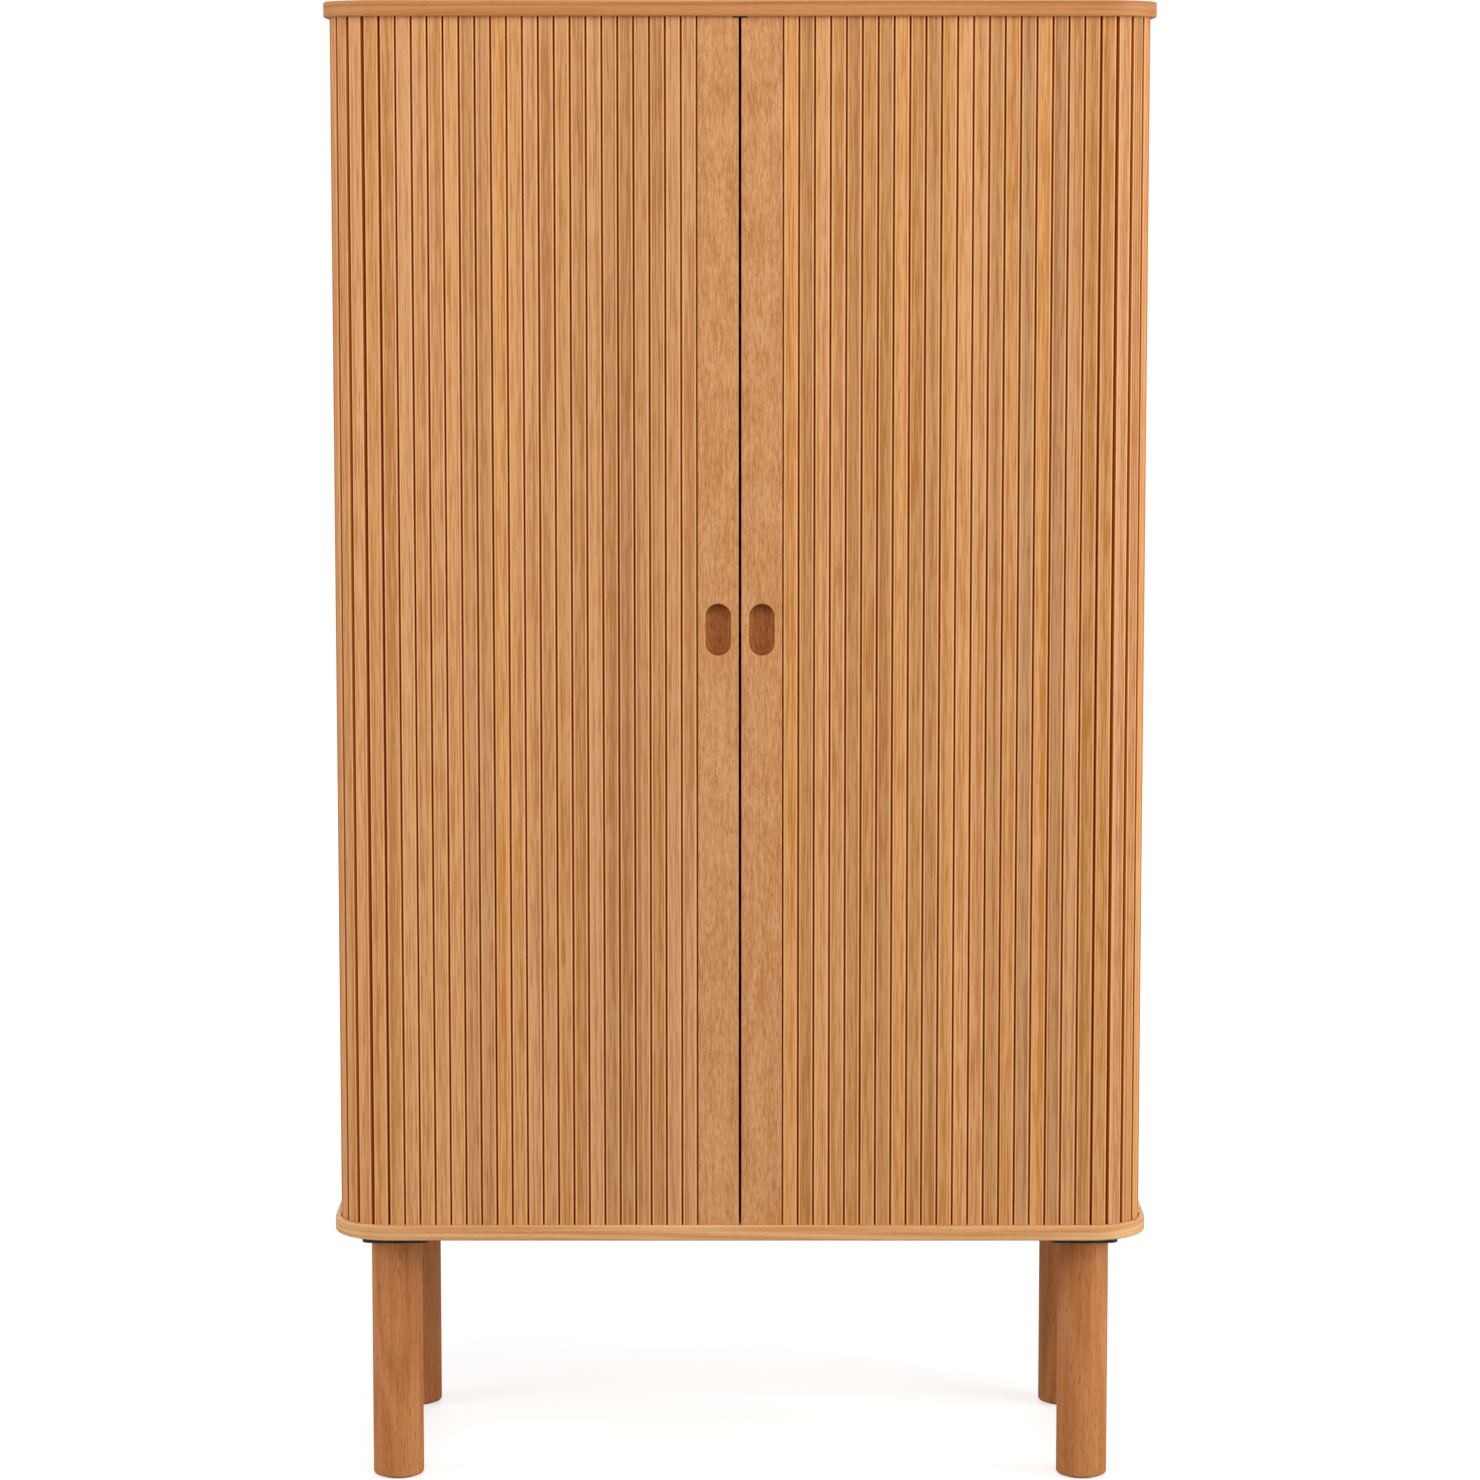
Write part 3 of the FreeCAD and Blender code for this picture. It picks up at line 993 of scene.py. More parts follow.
class ScrewTree(TreeBench):
    """Sets a cross-recessed screw head on every point, with its axis turned one way.

    The shares are parts of the head's radius, and CROSS_LIFT is a part of its rise.
    """

    HEAD_SIDES: int = 20
    TOP_SHARE: float = 0.72
    CROSS_LENGTH_SHARE: float = 1.05
    CROSS_WIDTH_SHARE: float = 0.26
    CROSS_LIFT: float = 0.9

    def __init__(self) -> None:
        """Builds the tree."""
        super().__init__("screw_row")
        radius = self.take("Head Radius", "NodeSocketFloat")
        rise = self.take("Head Rise", "NodeSocketFloat")
        facing = self.take("Facing", "NodeSocketRotation")
        seed = self.take("Seed", "NodeSocketInt")
        material = self.take("Finish", "NodeSocketMaterial")
        head = self._head(radius, rise)
        spin = self.add("FunctionNodeRandomValue", {"Seed": seed, "Max": math.tau}, data_type="FLOAT")
        about = self.add("ShaderNodeCombineXYZ", {2: spin.outputs[1]})
        turned = self.add("FunctionNodeEulerToRotation", {0: about.outputs[0]})
        turn = self.add("FunctionNodeRotateRotation", {0: turned.outputs[0], 1: facing})
        copies = self.add(
            "GeometryNodeInstanceOnPoints",
            {"Points": self.start.outputs["Geometry"], "Instance": head, "Rotation": turn.outputs[0]},
        )
        self.finish(copies.outputs[0], material)

    def _head(self, radius: bpy.types.NodeSocket, rise: bpy.types.NodeSocket) -> bpy.types.NodeSocket:
        """One head that rises along Z from its seat.

        Args:
            radius: the head's radius.
            rise: the head's height.

        Returns:
            The head's mesh.
        """
        sizes = {
            "Vertices": self.HEAD_SIDES,
            "Radius Top": self.math("MULTIPLY", radius, self.TOP_SHARE),
            "Radius Bottom": radius,
            "Depth": rise,
        }
        cone = self.add("GeometryNodeMeshCone", sizes)
        long_side = self.math("MULTIPLY", radius, self.CROSS_LENGTH_SHARE)
        short_side = self.math("MULTIPLY", radius, self.CROSS_WIDTH_SHARE)
        cuts = []
        for sides in ((long_side, short_side), (short_side, long_side)):
            size = self.add("ShaderNodeCombineXYZ", {0: sides[0], 1: sides[1], 2: rise})
            bar = self.add("GeometryNodeMeshCube", {"Size": size.outputs[0]})
            lift = self.add("ShaderNodeCombineXYZ", {2: self.math("MULTIPLY", rise, self.CROSS_LIFT)})
            raised = self.add(
                "GeometryNodeTransform", {"Geometry": bar.outputs[0], "Translation": lift.outputs[0]}
            )
            cuts.append(raised.outputs[0])
        head = cone.outputs[0]
        for cut in cuts:
            carved = self.add("GeometryNodeMeshBoolean", {"Mesh 1": head}, operation="DIFFERENCE")
            self.tree.links.new(cut, carved.inputs["Mesh 2"])
            head = carved.outputs[0]
        return head

    def row(
        self, name: str, places: list[Point], finish: bpy.types.Material, values: dict[str, object]
    ) -> None:
        """Sets a steel head on each of many places and dresses them all as one piece.

        Args:
            name: the piece's name.
            places: the heads' seats.
            finish: the heads' finish.
            values: the tree's other inputs by name.
        """
        piece = Maker.from_points(name, places, [])
        self.run(piece, {**values, "Finish": finish})
        Maker.dress(piece, finish, "pin_steel", CABINET)


@dataclass
class Track:
    """The line that the curtain's back follows, on the right-hand half."""

    corner_radius: float = CORNER_RADIUS
    setback: float = 0.0055
    slat_thickness: float = 0.005
    rear_shift: float = 0.003
    tail_tuck: float = 0.024
    front_slats: int = 20
    search_steps: int = 50

    def __post_init__(self) -> None:
        """Works out the line from the cabinet's box and the lead rail."""
        offset = self.setback + self.slat_thickness
        self.radius = self.corner_radius - offset
        self.corner_x = CAD_HIGH.x - self.corner_radius
        self.front_y = CAD_LOW.y + offset
        self.front_corner_y = CAD_LOW.y + self.corner_radius
        self.rear_corner_y = CAD_HIGH.y - self.corner_radius - self.rear_shift
        self.rear_y = CAD_HIGH.y - offset - self.rear_shift
        self.turn = self.radius * math.pi / 2
        self.side_run = self.rear_corner_y - self.front_corner_y
        slats_low, slats_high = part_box("right_front_slats")
        rail_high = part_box("right_lead_rail")[1].x
        self.gap = slats_low.x - rail_high
        self.pitch = (self.corner_x - rail_high - self.gap / 2) / self.front_slats
        self.low, self.high = slats_low.z, slats_high.z

    def point(self, distance: float) -> Plan:
        """The point at a distance from the start of the front corner, negative on the front run.

        Args:
            distance: the distance along the line.

        Returns:
            The point in plan.
        """
        if distance <= 0:
            return self.corner_x + distance, self.front_y
        if distance <= self.turn:
            angle = distance / self.radius - math.pi / 2
            return self._round(self.front_corner_y, angle)
        distance -= self.turn
        if distance <= self.side_run:
            return self.corner_x + self.radius, self.front_corner_y + distance
        distance -= self.side_run
        if distance <= self.turn:
            return self._round(self.rear_corner_y, distance / self.radius)
        return self.corner_x - (distance - self.turn), self.rear_y

    def _round(self, centre_y: float, angle: float) -> Plan:
        """A point on one of the two corner arcs."""
        return self.corner_x + self.radius * math.cos(angle), centre_y + self.radius * math.sin(angle)

    def joints(self) -> list[float]:
        """Distances of all slat joints, from the lead rail to the tail.

        Returns:
            The distances in order.
        """
        places = [-self.pitch * (self.front_slats - index) for index in range(self.front_slats + 1)]
        end = 2 * self.turn + self.side_run + self.tail_tuck
        while places[-1] < end:
            places.append(self._next(places[-1]))
        return places

    def _next(self, distance: float) -> float:
        """The distance of the next joint, one pitch away in a straight line.

        Args:
            distance: the distance of this joint.

        Returns:
            The next one's distance.
        """
        here = Vector(self.point(distance))
        near, far = distance, distance + 2 * self.pitch
        for _ in range(self.search_steps):
            middle = (near + far) / 2
            if (Vector(self.point(middle)) - here).length < self.pitch:
                near = middle
            else:
                far = middle
        return (near + far) / 2

    def stretches(self) -> dict[Stretch, list[Plan]]:
        """The joints of each stretch, where neighbours share their end joint.

        Returns:
            Points in plan by stretch.
        """
        places = self.joints()
        found: dict[Stretch, list[Plan]] = {stretch: [] for stretch in Stretch}
        for index in range(len(places) - 1):
            middle = (places[index] + places[index + 1]) / 2
            if index < self.front_slats:
                stretch = Stretch.FRONT
            elif middle < self.turn:
                stretch = Stretch.CORNER
            elif middle < self.turn + self.side_run:
                stretch = Stretch.SIDE
            else:
                stretch = Stretch.REAR
            if not found[stretch]:
                found[stretch].append(self.point(places[index]))
            found[stretch].append(self.point(places[index + 1]))
        return found


@dataclass
class Curtain:
    """One tambour curtain: four stretches of slats and the canvas behind them."""

    side: Side
    track: Track
    tree: SlatTree
    finishes: Finishes
    edge_rounding: float = 0.0015
    canvas_thickness: float = 0.0006
    folded_share: float = 0.018
    first_seed: int = 11
    seed_step: int = 4

    @property
    def slide(self) -> str:
        """The name of this side's door slide joint."""
        return self.side.word + "_door_slide"

    def build(self) -> None:
        """Makes the slats of every stretch, then the canvas behind the front and round the side."""
        stretches = self.track.stretches()
        for order, (stretch, joints) in enumerate(stretches.items()):
            self._slats(stretch, joints, order)
        front = stretches.pop(Stretch.FRONT)
        wrap = front[-1:]
        for joints in stretches.values():
            wrap += joints[1:]
        self._shorten(self._canvas("front_canvas", [front[0], front[-1]], [Stretch.FRONT]))
        self._canvas("wrap_canvas", wrap, list(stretches))

    def _chain(self, joints: list[Plan]) -> list[Plan]:
        """The joints on this curtain's own side, so that the slats' faces look outwards.

        Args:
            joints: points on the right-hand half.

        Returns:
            The same points, mirrored and in reverse for the left.
        """
        chain = [(x * self.side.value, y) for x, y in joints]
        return chain if self.side is Side.RIGHT else chain[::-1]

    def _slats(self, stretch: Stretch, joints: list[Plan], order: int) -> None:
        """Makes the slats of one stretch.

        Args:
            stretch: which stretch it is.
            joints: its slat joints.
            order: its number, which keeps the tones of the stretches apart.
        """
        node = self._slat_node(stretch)
        points = [(x, y, 0.0) for x, y in self._chain(joints)]
        edges = [(index, index + 1) for index in range(len(points) - 1)]
        piece = Maker.from_points(node + "_oak", points, edges)
        values = {
            "Slat Width": self.track.pitch - self.track.gap,
            "Slat Thickness": self.track.slat_thickness,
            "Edge Rounding": self.edge_rounding,
            "Slat Low": self.track.low,
            "Slat High": self.track.high,
            "Seed": self.first_seed + self.seed_step * order + self.side.value,
            "Finish": self.finishes.slat,
        }
        self.tree.run(piece, values)
        Maker.smooth(piece)
        Maker.dress(piece, self.finishes.slat, "oak_slat", CABINET, node)
        if stretch is Stretch.FRONT:
            self._shorten(piece)

    def _slat_node(self, stretch: Stretch) -> str:
        """The name of a stretch's solid."""
        return f"{self.side.word}_{stretch.value}_slats"

    def _canvas(self, kind: str, joints: list[Plan], behind: list[Stretch]) -> bpy.types.Object:
        """Makes one length of the canvas that is glued to the slats' backs.

        Args:
            kind: the last words of its name.
            joints: the slat joints that it runs along.
            behind: the stretches that it holds together.

        Returns:
            The canvas.
        """
        node = f"{self.side.word}_{kind}"
        low, high = (corner.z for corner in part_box(node))
        fronts = [Vector((x * self.side.value, y)) for x, y in joints]
        backs = self._offset(fronts)
        shape = bmesh.new()
        loops = []
        for line, z in ((fronts, low), (backs, low), (backs, high), (fronts, high)):
            loops.append([shape.verts.new((point.x, point.y, z)) for point in line])
        for near, far in zip(loops, loops[1:] + loops[:1]):
            for index in range(len(fronts) - 1):
                shape.faces.new((near[index], near[index + 1], far[index + 1], far[index]))
        for end in (0, -1):
            shape.faces.new([loop[end] for loop in loops])
        piece = Maker.closed_piece(node + "_cloth", shape)
        runs = [0.0]
        for before, after in zip(fronts, fronts[1:]):
            runs.append(runs[-1] + (after - before).length)

        def run(point: Vector, normal: Vector) -> Pair:
            """The run up to the joint that is nearest to a point, and the point's height."""
            places = [(point.xy - here).length for here in fronts]
            return runs[places.index(min(places))], point.z

        Maker.lay_run_map(piece, run)
        Maker.dress(piece, self.finishes.canvas, "canvas", CABINET, node)
        slats = [self._slat_node(stretch) for stretch in behind]
        return piece

    def _offset(self, line: list[Vector]) -> list[Vector]:
        """The far face of the canvas, mitred where the curtain bends.

        Args:
            line: the slat joints.

        Returns:
            A point behind each joint.
        """
        steps = [(after - before).normalized() for before, after in zip(line, line[1:])]
        moved = []
        for point, before, after in zip(line, steps[:1] + steps, steps + steps[-1:]):
            bisector = before + after
            inward = Vector((-bisector.y, bisector.x)) * self.side.value
            moved.append(point + inward * (2 * self.canvas_thickness / bisector.length_squared))
        return moved

    def _shorten(self, piece: bpy.types.Object) -> None:
        """Gives a piece of the front run its own copy of its mesh."""
        self.slide
        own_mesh(piece)


@dataclass
class LeadRail:
    """The wide slat at a door's leading edge, with its tongues and its routed finger pull."""

    side: Side
    finishes: Finishes
    front_rounding: float = 0.0015
    back_rounding: float = 0.0008
    tongue_back: float = -0.1883
    body_low: float = 0.2665
    body_high: float = 1.4335
    notch_end: float = 0.0068
    pull_centre: float = 0.850
    pull_half_width: float = 0.01225
    pull_half_height: float = 0.025
    pull_depth: float = 0.009
    pull_cove: float = 0.005
    pull_rim: float = 0.001
    block_half_height: float = 0.040
    # How dark the pull gets: its floor partly from oil and partly from painted shade, its two ends more
    # from painted shade.
    floor_oil_and_shade: float = 0.74
    end_painted_shade: float = 0.40
    arc_steps: int = 5
    ring_points: int = 64

    def build(self) -> None:
        """Makes the rail and sets it on its door."""
        node = self.side.word + "_lead_rail"
        low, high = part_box("right_lead_rail")
        shape = bmesh.new()
        body = self._section(low.x, high.x, low.y, high.y)
        tongue = self._section(low.x, high.x, low.y, self.tongue_back)
        notched = self._section(self.notch_end, high.x, low.y, self.tongue_back)
        block_low = self.pull_centre - self.block_half_height
        block_high = self.pull_centre + self.block_half_height
        rows = [
            self._row(shape, section, z)
            for section, z in (
                (tongue, low.z),
                (tongue, self.body_low),
                (body, self.body_low),
                (body, block_low),
                (body, block_high),
                (body, self.body_high),
                (notched, self.body_high),
                (notched, high.z),
            )
        ]
        ring = self._pull(shape, body, low.y)
        self._walls(shape, rows, ring)
        if self.side is Side.LEFT:
            bmesh.ops.scale(shape, vec=(-1.0, 1.0, 1.0), verts=shape.verts)
        piece = Maker.closed_piece(node + "_oak", shape)
        self._mark_routed(piece, (body[0][0] + body[1][0]) / 2, low.y)
        Maker.smooth(piece)
        Maker.dress(piece, self.finishes.rail, "oak_rail", self.side.word + "_door", node)

    def _mark_routed(self, piece: bpy.types.Object, centre_x: float, face: float) -> None:
        """Marks the pull's surface for its darkening: oil and painted shade over the hollow, and more
        painted shade at its two ends.

        Args:
            piece: the rail.
            centre_x: how far the pull's middle is from the cabinet's.
            face: the front plane.
        """
        reach_x = self.pull_half_width + self.pull_rim
        reach_z = self.pull_half_height + self.pull_rim
        marks = piece.data.attributes.new(ROUTED_NAME, "FLOAT", "POINT")
        for vertex, mark in zip(piece.data.vertices, marks.data):
            across = abs(abs(vertex.co.x) - centre_x)
            up = abs(vertex.co.z - self.pull_centre)
            depth = vertex.co.y - face
            inside = across < reach_x and up < reach_z
            if inside and depth < self.pull_depth + MERGE_DISTANCE:
                sunk = min(max(depth - self.pull_rim / 2, 0.0) / self.pull_rim, 1.0)
                end = min(max(up - self.pull_half_width, 0.0) / self.pull_half_width, 1.0)
                # Oil and painted shade over the hollow, with more painted shade towards the two ends.
                mark.value = sunk * (self.floor_oil_and_shade + self.end_painted_shade * end)

    def _section(self, x0: float, x1: float, y0: float, y1: float) -> list[Plan]:
        """The outline in plan, from the left end of the flat front, with all corners rounded.

        Args:
            x0: left side.
            x1: right side.
            y0: front.
            y1: back.

        Returns:
            Points counter-clockwise, as many for every section.
        """
        front, back = self.front_rounding, self.back_rounding
        corners = (
            (x1 - front, y0 + front, front, -math.pi / 2),
            (x1 - back, y1 - back, back, 0.0),
            (x0 + back, y1 - back, back, math.pi / 2),
            (x0 + front, y0 + front, front, math.pi),
        )
        points = []
        for x, y, radius, start in corners:
            for step in range(self.arc_steps + 1):
                angle = start + step / self.arc_steps * math.pi / 2
                points.append((x + radius * math.cos(angle), y + radius * math.sin(angle)))
        return points[-1:] + points[:-1]

    @staticmethod
    def _row(shape: bmesh.types.BMesh, section: list[Plan], z: float) -> list[bmesh.types.BMVert]:
        """Sets a section's points at one height."""
        return [shape.verts.new((x, y, z)) for x, y in section]

    def _pull(
        self, shape: bmesh.types.BMesh, body: list[Plan], face: float
    ) -> list[bmesh.types.BMVert]:
        """Cuts the finger pull into the block of the front that holds it.

        Args:
            shape: the rail's mesh.
            body: the rail's section, whose first two points bound the flat front.
            face: the front plane.

        Returns:
            The points on the block's edge, counter-clockwise from its right-hand side.
        """
        centre_x = (body[0][0] + body[1][0]) / 2
        half = ((body[1][0] - body[0][0]) / 2, self.block_half_height)
        depths = [(self.pull_rim, 0.0)]
        for step in range(1, self.arc_steps + 1):
            angle = step / self.arc_steps * math.pi / 2
            grow = self.pull_rim * (1 - math.sin(angle))
            depths.append((grow, self.pull_rim * (1 - math.cos(angle))))
        wall = self.pull_depth - self.pull_cove
        for step in range(2 * self.arc_steps + 1):
            angle = step / (2 * self.arc_steps) * math.pi / 2
            grow = -self.pull_cove * (1 - math.cos(angle))
            depths.append((grow, wall + self.pull_cove * math.sin(angle)))
        outlines = [(self._block_edge(half), 0.0)]
        outlines += [(self._slot(grow), depth) for grow, depth in depths]
        loops = []
        for outline, depth in outlines:
            y = face + depth
            loops.append([shape.verts.new((centre_x + x, y, self.pull_centre + z)) for x, z in outline])
        Maker.bridge(shape, loops)
        shape.faces.new(loops[-1])
        return loops[0]

    def _slot(self, grow: float) -> list[Plan]:
        """The pull's outline, an upright slot with round ends.

        Args:
            grow: how much wider than the pull it is all round.

        Returns:
            Points counter-clockwise from the right-hand side.
        """
        radius = self.pull_half_width + grow
        straight = self.pull_half_height - self.pull_half_width
        points = []
        for index in range(self.ring_points):
            angle = (index + 0.5) / self.ring_points * math.tau
            end = straight if math.sin(angle) > 0 else -straight
            points.append((radius * math.cos(angle), end + radius * math.sin(angle)))
        return points

    def _block_edge(self, half: Plan) -> list[Plan]:
        """A point on the block's edge for each point of the slot, with all four corners among them.

        Args:
            half: half the block's width and height.

        Returns:
            Points counter-clockwise from the right-hand side.
        """
        points = []
        for x, z in self._slot(0.0):
            reach_x = half[0] / max(abs(x), MERGE_DISTANCE)
            reach_z = half[1] / max(abs(z), MERGE_DISTANCE)
            reach = min(reach_x, reach_z)
            points.append((x * reach, z * reach))
        for sign_x, sign_z in ((1, 1), (-1, 1), (-1, -1), (1, -1)):
            corner = (sign_x * half[0], sign_z * half[1])
            nearest = min(range(len(points)), key=lambda index: math.dist(points[index], corner))
            points[nearest] = corner
        return points

    def _walls(
        self,
        shape: bmesh.types.BMesh,
        rows: list[list[bmesh.types.BMVert]],
        ring: list[bmesh.types.BMVert],
    ) -> None:
        """Closes the outside of the rail round the block.

        Args:
            shape: the rail's mesh.
            rows: the sections from the lower to the upper end.
            ring: the points on the block's edge.
        """
        # The row at the block's lower edge, in the order in which build sets the rows.
        block = 3
        count = len(rows[0])
        x0, x1 = rows[block][0].co.x, rows[block][1].co.x
        z0, z1 = rows[block][0].co.z, rows[block + 1][0].co.z
        inside_x = [vert for vert in ring if x0 + MERGE_DISTANCE < vert.co.x < x1 - MERGE_DISTANCE]
        inside_z = [vert for vert in ring if z0 + MERGE_DISTANCE < vert.co.z < z1 - MERGE_DISTANCE]
        middle_x, middle_z = (x0 + x1) / 2, (z0 + z1) / 2
        under = sorted((v for v in inside_x if v.co.z < middle_z), key=lambda v: v.co.x)
        above = sorted((v for v in inside_x if v.co.z > middle_z), key=lambda v: v.co.x)
        left = sorted((v for v in inside_z if v.co.x < middle_x), key=lambda v: v.co.z)
        right = sorted((v for v in inside_z if v.co.x > middle_x), key=lambda v: v.co.z)
        extra = {
            (block - 1, 0): (under[::-1], "top"),
            (block + 1, 0): (above, "bottom"),
            (block, 1): (right[::-1], "near"),
            (block, count - 1): (left, "far"),
        }
        for level, (lower, upper) in enumerate(zip(rows, rows[1:])):
            for index in range(count):
                if (level, index) == (block, 0):
                    continue
                after = (index + 1) % count
                added, edge = extra.get((level, index), ([], ""))
                face = [lower[index]]
                face += added if edge == "bottom" else []
                face.append(lower[after])
                face += added if edge == "far" else []
                face.append(upper[after])
                face += added if edge == "top" else []
                face.append(upper[index])
                face += added if edge == "near" else []
                shape.faces.new(face)
        shape.faces.new(rows[0])
        shape.faces.new(rows[-1])


@dataclass
class Carcass:
    """The panels, the inner case and its shelves, the post, the back and the rail stop."""

    finishes: Finishes
    corner_radius: float = CORNER_RADIUS
    panel_easing: float = 0.0004
    board_easing: float = 0.0006
    back_easing: float = 0.0005
    screw_rise: float = 0.0005
    screw_radius: float = 0.0035
    screw_recess: float = 0.0006
    screw_room: float = 0.0003
    recess_sides: int = 24
    screw_inset: float = 0.014
    screws_up: int = 6
    screws_across: int = 4
    screw_seed: int = 3
    level_rise: float = 0.7
    face_offset: float = 1.0

    def build(self, screws: ScrewTree) -> None:
        """Makes every board and the screws of the back.

        Args:
            screws: the tree that sets screw heads.
        """
        panels = {"top_panel": self.finishes.top, "bottom_panel": self.finishes.bottom}
        for node, material in panels.items():
            piece = Maker.eased_copy(node, node + "_oak", self.panel_easing)
            Maker.lay_run_map(piece, self._edge_run)
            Maker.dress(piece, material, "oak_panel", CABINET, node)
        for node in ("left_case_side", "right_case_side", "case_back"):
            self._board(node, self.finishes.board, "oak_veneer", self.board_easing)
        for node in ("shelf_1", "shelf_2", "shelf_3"):
            self._board(node, self.finishes.shelf, "oak_veneer", self.board_easing)
        self._board("rear_post", self.finishes.back, "back_board", self.back_easing)
        self._board("rail_stop", self.finishes.black, "black_plastic", self.panel_easing)
        self._board("shelf_pins", self.finishes.steel, "pin_steel", self.panel_easing)
        self._back(screws)

    def _board(self, node: str, material: bpy.types.Material, slot: str, easing: float) -> None:
        """Makes one board with softened edges.

        Args:
            node: the solid that it stands for.
            material: its finish.
            slot: the record's name of the finish.
            easing: how far the rounding reaches.
        """
        Maker.dress(Maker.eased_copy(node, node + "_piece", easing), material, slot, CABINET, node)

    def _edge_run(self, point: Vector, normal: Vector) -> Pair:
        """Grain that runs sideways on the flat faces and follows the edge all round the panel.

        Args:
            point: a point of the panel.
            normal: the direction of its face.

        Returns:
            The distance along the grain and the place across it.
        """
        if abs(normal.z) > self.level_rise:
            return point.x, point.y + math.copysign(self.face_offset, normal.z)
        corner_x = CAD_HIGH.x - self.corner_radius
        corner_y = CAD_HIGH.y - self.corner_radius
        out_x, out_y = abs(point.x) - corner_x, abs(point.y) - corner_y
        if out_x <= 0:
            return point.x, point.z
        if out_y <= 0:
            run = corner_x + self.corner_radius * math.pi / 2 + corner_y - abs(point.y)
            return math.copysign(run, point.x), point.z
        turn = self.corner_radius * math.atan2(out_x, out_y)
        return math.copysign(corner_x + turn, point.x), point.z

    def _back(self, screws: ScrewTree) -> None:
        """Makes the back panel, and sinks the screws that fasten it all round.

        Args:
            screws: the tree that sets screw heads.
        """
        places = self._screw_places()
        panel = Maker.eased_copy("back_panel", "back_panel_piece", self.back_easing)
        self._sink(panel, places)
        Maker.dress(panel, self.finishes.back, "back_board", CABINET, "back_panel")
        values = {
            "Head Radius": self.screw_radius,
            "Head Rise": self.screw_rise,
            "Facing": (-math.pi / 2, 0.0, 0.0),
            "Seed": self.screw_seed,
        }
        screws.row("back_screws", places, self.finishes.steel, values)

    def _screw_places(self) -> list[Point]:
        """The seats of the back's screws, just under its surface.

        Returns:
            Points all round the panel.
        """
        low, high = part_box("back_panel")
        x0, x1 = low.x + self.screw_inset, high.x - self.screw_inset
        z0, z1 = low.z + self.screw_inset, high.z - self.screw_inset
        seat = high.y - self.screw_recess
        places = []
        for row in range(self.screws_up):
            z = z0 + (z1 - z0) * row / (self.screws_up - 1)
            places += [(x0, seat, z), (x1, seat, z)]
        for column in range(1, self.screws_across - 1):
            x = x0 + (x1 - x0) * column / (self.screws_across - 1)
            places += [(x, seat, z0), (x, seat, z1)]
        return places

    def _sink(self, panel: bpy.types.Object, places: list[Point]) -> None:
        """Cuts a shallow round recess for each screw head.

        Args:
            panel: the board, changed in place.
            places: the screws' seats.
        """
        shape = bmesh.new()
        radius = self.screw_radius + self.screw_room
        for place in places:
            centre = Vector(place) + Vector((0.0, self.screw_recess, 0.0))
            matrix = Matrix.Translation(centre) @ Matrix.Rotation(math.pi / 2, 4, "X")
            bmesh.ops.create_cone(
                shape,
                cap_ends=True,
                segments=self.recess_sides,
                radius1=radius,
                radius2=radius,
                depth=2 * self.screw_recess,
                matrix=matrix,
            )
        cutter = Maker.closed_piece("screw_recesses", shape)
        cut = panel.modifiers.new("recesses", "BOOLEAN")
        cut.operation = "DIFFERENCE"
        cut.object = cutter
        Maker.settle(panel)
        bpy.data.objects.remove(cutter)


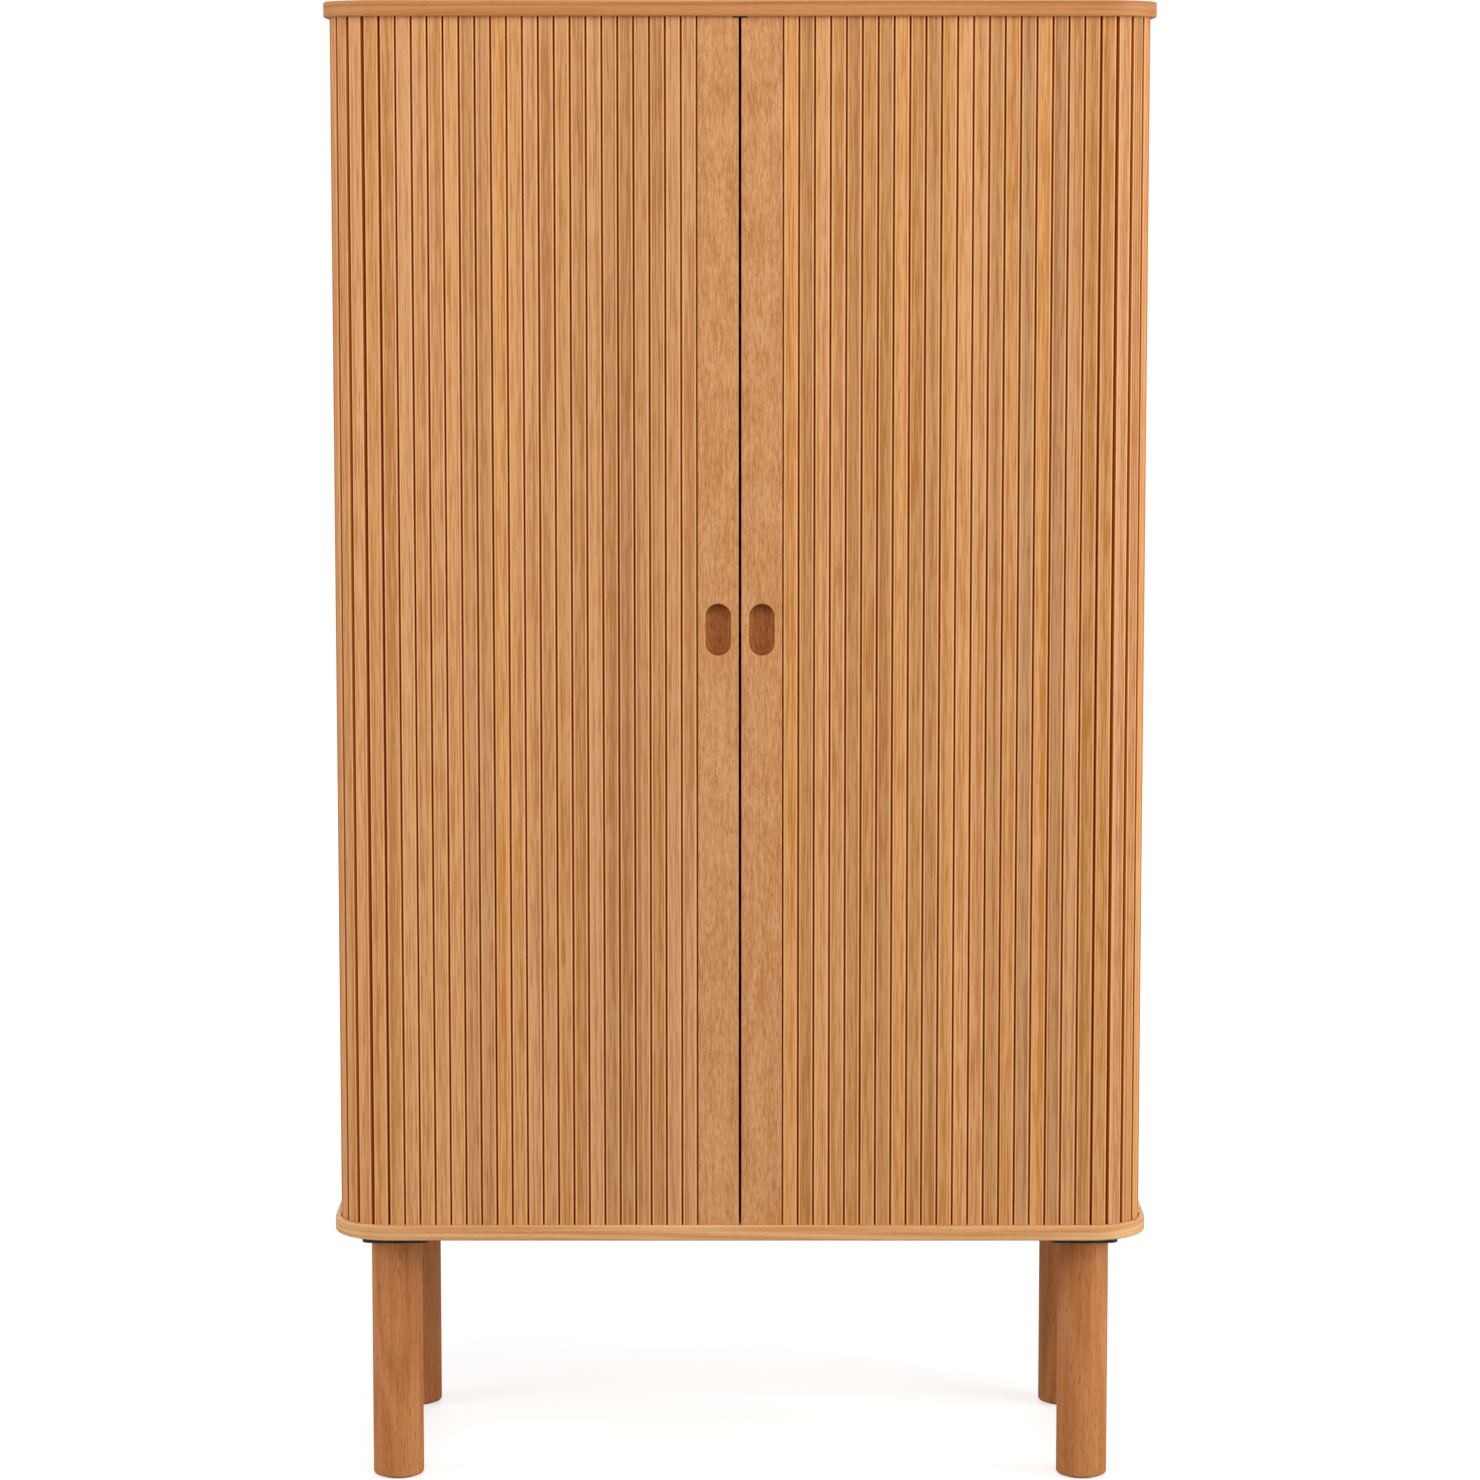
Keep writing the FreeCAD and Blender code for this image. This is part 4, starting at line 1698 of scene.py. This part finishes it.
@dataclass
class LegSet:
    """Four turned legs, the black brackets that hold them, the brackets' screws and the glides."""

    finishes: Finishes
    foot_rounding: float = 0.003
    top_rounding: float = 0.0006
    segments: int = 72
    arc_steps: int = 6
    bracket_easing: float = 0.0006
    glide_easing: float = 0.0004
    screw_radius: float = 0.0024
    screw_rise: float = 0.0013
    ear_share: float = 0.5
    screw_seed: int = 5

    def build(self, screws: ScrewTree) -> None:
        """Makes the legs and what belongs to them.

        Args:
            screws: the tree that sets screw heads.
        """
        places = []
        for end in ("front", "rear"):
            for side in Side:
                leg = f"{end}_{side.word}_leg"
                self._leg(leg)
                bracket = leg + "_bracket"
                piece = Maker.eased_copy(bracket, bracket + "_piece", self.bracket_easing)
                Maker.dress(piece, self.finishes.black, "black_plastic", CABINET, bracket)
                places += self._ears(leg, bracket)
        glides = Maker.eased_copy("foot_glides", "foot_glides_piece", self.glide_easing)
        Maker.dress(glides, self.finishes.glide, "glide_plastic", CABINET, "foot_glides")
        values = {
            "Head Radius": self.screw_radius,
            "Head Rise": self.screw_rise,
            "Facing": (math.pi, 0.0, 0.0),
            "Seed": self.screw_seed,
        }
        screws.row("bracket_screws", places, self.finishes.steel, values)

    def _leg(self, node: str) -> None:
        """Turns one leg with a rounded foot.

        Args:
            node: the solid that it stands for.
        """
        low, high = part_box(node)
        centre = (low + high) / 2
        radius = (high.x - low.x) / 2
        profile = []
        for rounding, start, z in (
            (self.foot_rounding, -math.pi / 2, low.z + self.foot_rounding),
            (self.top_rounding, 0.0, high.z - self.top_rounding),
        ):
            for step in range(self.arc_steps + 1):
                angle = start + step / self.arc_steps * math.pi / 2
                reach = radius - rounding + rounding * math.cos(angle)
                profile.append((reach, z + rounding * math.sin(angle)))
        shape = bmesh.new()
        rings = []
        for reach, z in profile:
            ring = []
            for segment in range(self.segments):
                angle = segment / self.segments * math.tau
                x = centre.x + reach * math.cos(angle)
                y = centre.y + reach * math.sin(angle)
                ring.append(shape.verts.new((x, y, z)))
            rings.append(ring)
        Maker.bridge(shape, rings)
        shape.faces.new(rings[0])
        shape.faces.new(rings[-1])
        piece = Maker.closed_piece(node + "_oak", shape)
        Maker.smooth(piece)
        Maker.dress(piece, self.finishes.leg, "oak_leg", CABINET, node)

    def _ears(self, leg: str, bracket: str) -> list[Point]:
        """The middles of a bracket's two ears, under which its screws sit.

        Args:
            leg: the leg's node.
            bracket: the bracket's node.

        Returns:
            Two points on the underside of the ears.
        """
        leg_low, leg_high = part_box(leg)
        low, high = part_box(bracket)
        y = (low.y + high.y) / 2
        return [
            (low.x + (leg_low.x - low.x) * self.ear_share, y, leg_high.z),
            (high.x - (high.x - leg_high.x) * self.ear_share, y, leg_high.z),
        ]


@dataclass(frozen=True)
class Lamp:
    """A soft square lamp that faces the middle of the cabinet, with its power in watts."""

    name: str
    place: Point
    size: float
    power: float

    def hang(self) -> None:
        """Puts the lamp in the scene."""
        light = bpy.data.lights.new(self.name, "AREA")
        light.size = self.size
        light.energy = self.power
        lamp = Maker.link(self.name, light)
        lamp.location = self.place
        aim = (CAD_LOW + CAD_HIGH) / 2 - lamp.location
        lamp.rotation_euler = aim.to_track_quat("-Z", "Y").to_euler()


@dataclass
class Studio:
    """A white floor and background, soft lamps and the camera."""

    floor_reach: float = 40.0
    floor_shade: float = 0.50
    glow_near: float = 0.66
    glow_far: float = 0.92
    near: float = 1.2
    far: float = 5.0
    world_light: float = 0.28
    eye_height: float = 1.28
    eye_distance: float = 4.477
    sensor: float = 36.0
    lamps: tuple[Lamp, ...] = (
        Lamp("side_left", (-3.8, -1.4, 1.4), size=2.4, power=68.0),
        Lamp("side_right", (3.8, -1.4, 1.4), size=2.4, power=114.0),
        Lamp("top", (0.0, -2.9, 3.2), size=3.0, power=65.0),
        Lamp("rear", (0.0, 4.5, 3.0), size=3.0, power=110.0),
    )

    def build(self) -> None:
        """Makes the floor, the background, the lamps and the camera."""
        self._floor()
        self._world()
        for lamp in self.lamps:
            lamp.hang()
        self._camera()

    def _floor(self) -> None:
        """Lays a pale floor that shows white to the camera and keeps the shadow."""
        shape = bmesh.new()
        bmesh.ops.create_grid(shape, x_segments=1, y_segments=1, size=self.floor_reach)
        floor = Maker.from_bmesh("studio_floor", shape)
        bench = ShaderBench("studio_floor")
        seen = bench.add("ShaderNodeLightPath").outputs["Is Camera Ray"]
        shade = (self.floor_shade,) * 3 + (1.0,)
        matt = bench.add("ShaderNodeBsdfDiffuse", {"Color": shade})
        place = bench.add("ShaderNodeTexCoord").outputs["Object"]
        away = bench.add("ShaderNodeVectorMath", {0: place}, operation="LENGTH").outputs["Value"]
        inputs = {
            "Value": away,
            "From Min": self.near,
            "From Max": self.far,
            "To Min": self.glow_near,
            "To Max": self.glow_far,
        }
        level = bench.add("ShaderNodeMapRange", inputs).outputs[0]
        glow = bench.add("ShaderNodeEmission", {"Strength": bench.math("MULTIPLY", seen, level)})
        both = bench.add("ShaderNodeAddShader", {0: matt.outputs[0], 1: glow.outputs[0]})
        bench.add("ShaderNodeOutputMaterial", {"Surface": both.outputs[0]})
        floor.data.materials.append(bench.material)

    def _world(self) -> None:
        """Lights the scene evenly, and shows white where a ray meets the background."""
        world = bpy.data.worlds.new("studio")
        bpy.context.scene.world = world
        world.use_nodes = True
        bench = NodeBench(world.node_tree)
        bench.tree.nodes.clear()
        rays = bench.add("ShaderNodeLightPath").outputs
        seen = rays["Is Camera Ray"]
        for name in ("Is Glossy Ray", "Is Transmission Ray"):
            seen = bench.math("MAXIMUM", seen, rays[name])
        level = bench.add("ShaderNodeMapRange", {"Value": seen, "To Min": self.world_light}).outputs[0]
        backdrop = bench.add("ShaderNodeBackground", {"Color": WHITE, "Strength": level})
        bench.add("ShaderNodeOutputWorld", {"Surface": backdrop.outputs[0]})

    def _camera(self) -> None:
        """Aims a camera so that the top edge and the front feet just touch the frame."""
        place = Vector((0.0, CAD_LOW.y - self.eye_distance, self.eye_height))
        feet_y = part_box("front_left_leg")[0].y
        up = math.atan2(CAD_HIGH.z - place.z, CAD_LOW.y - place.y)
        down = math.atan2(CAD_LOW.z - place.z, feet_y - place.y)
        data = bpy.data.cameras.new("camera")
        data.sensor_width = self.sensor
        data.lens = self.sensor / 2 / math.tan((up - down) / 2)
        camera = Maker.link("camera", data)
        camera.location = place
        camera.rotation_euler = (math.pi / 2 + (up + down) / 2, 0.0, 0.0)
        bpy.context.scene.camera = camera


def main() -> None:
    """Builds the cabinet's looks and the studio round it."""
    logging.basicConfig(level=logging.INFO, format="%(name)s %(message)s")
    bpy.context.scene.view_settings.view_transform = "Standard"
    finishes = Finishes.make()
    slats, screws, track = SlatTree(), ScrewTree(), Track()
    for side in Side:
        Curtain(side, track, slats, finishes).build()
        LeadRail(side, finishes).build()
    Carcass(finishes).build(screws)
    LegSet(finishes).build(screws)
    Studio().build()


if __name__ == "__main__":
    main()
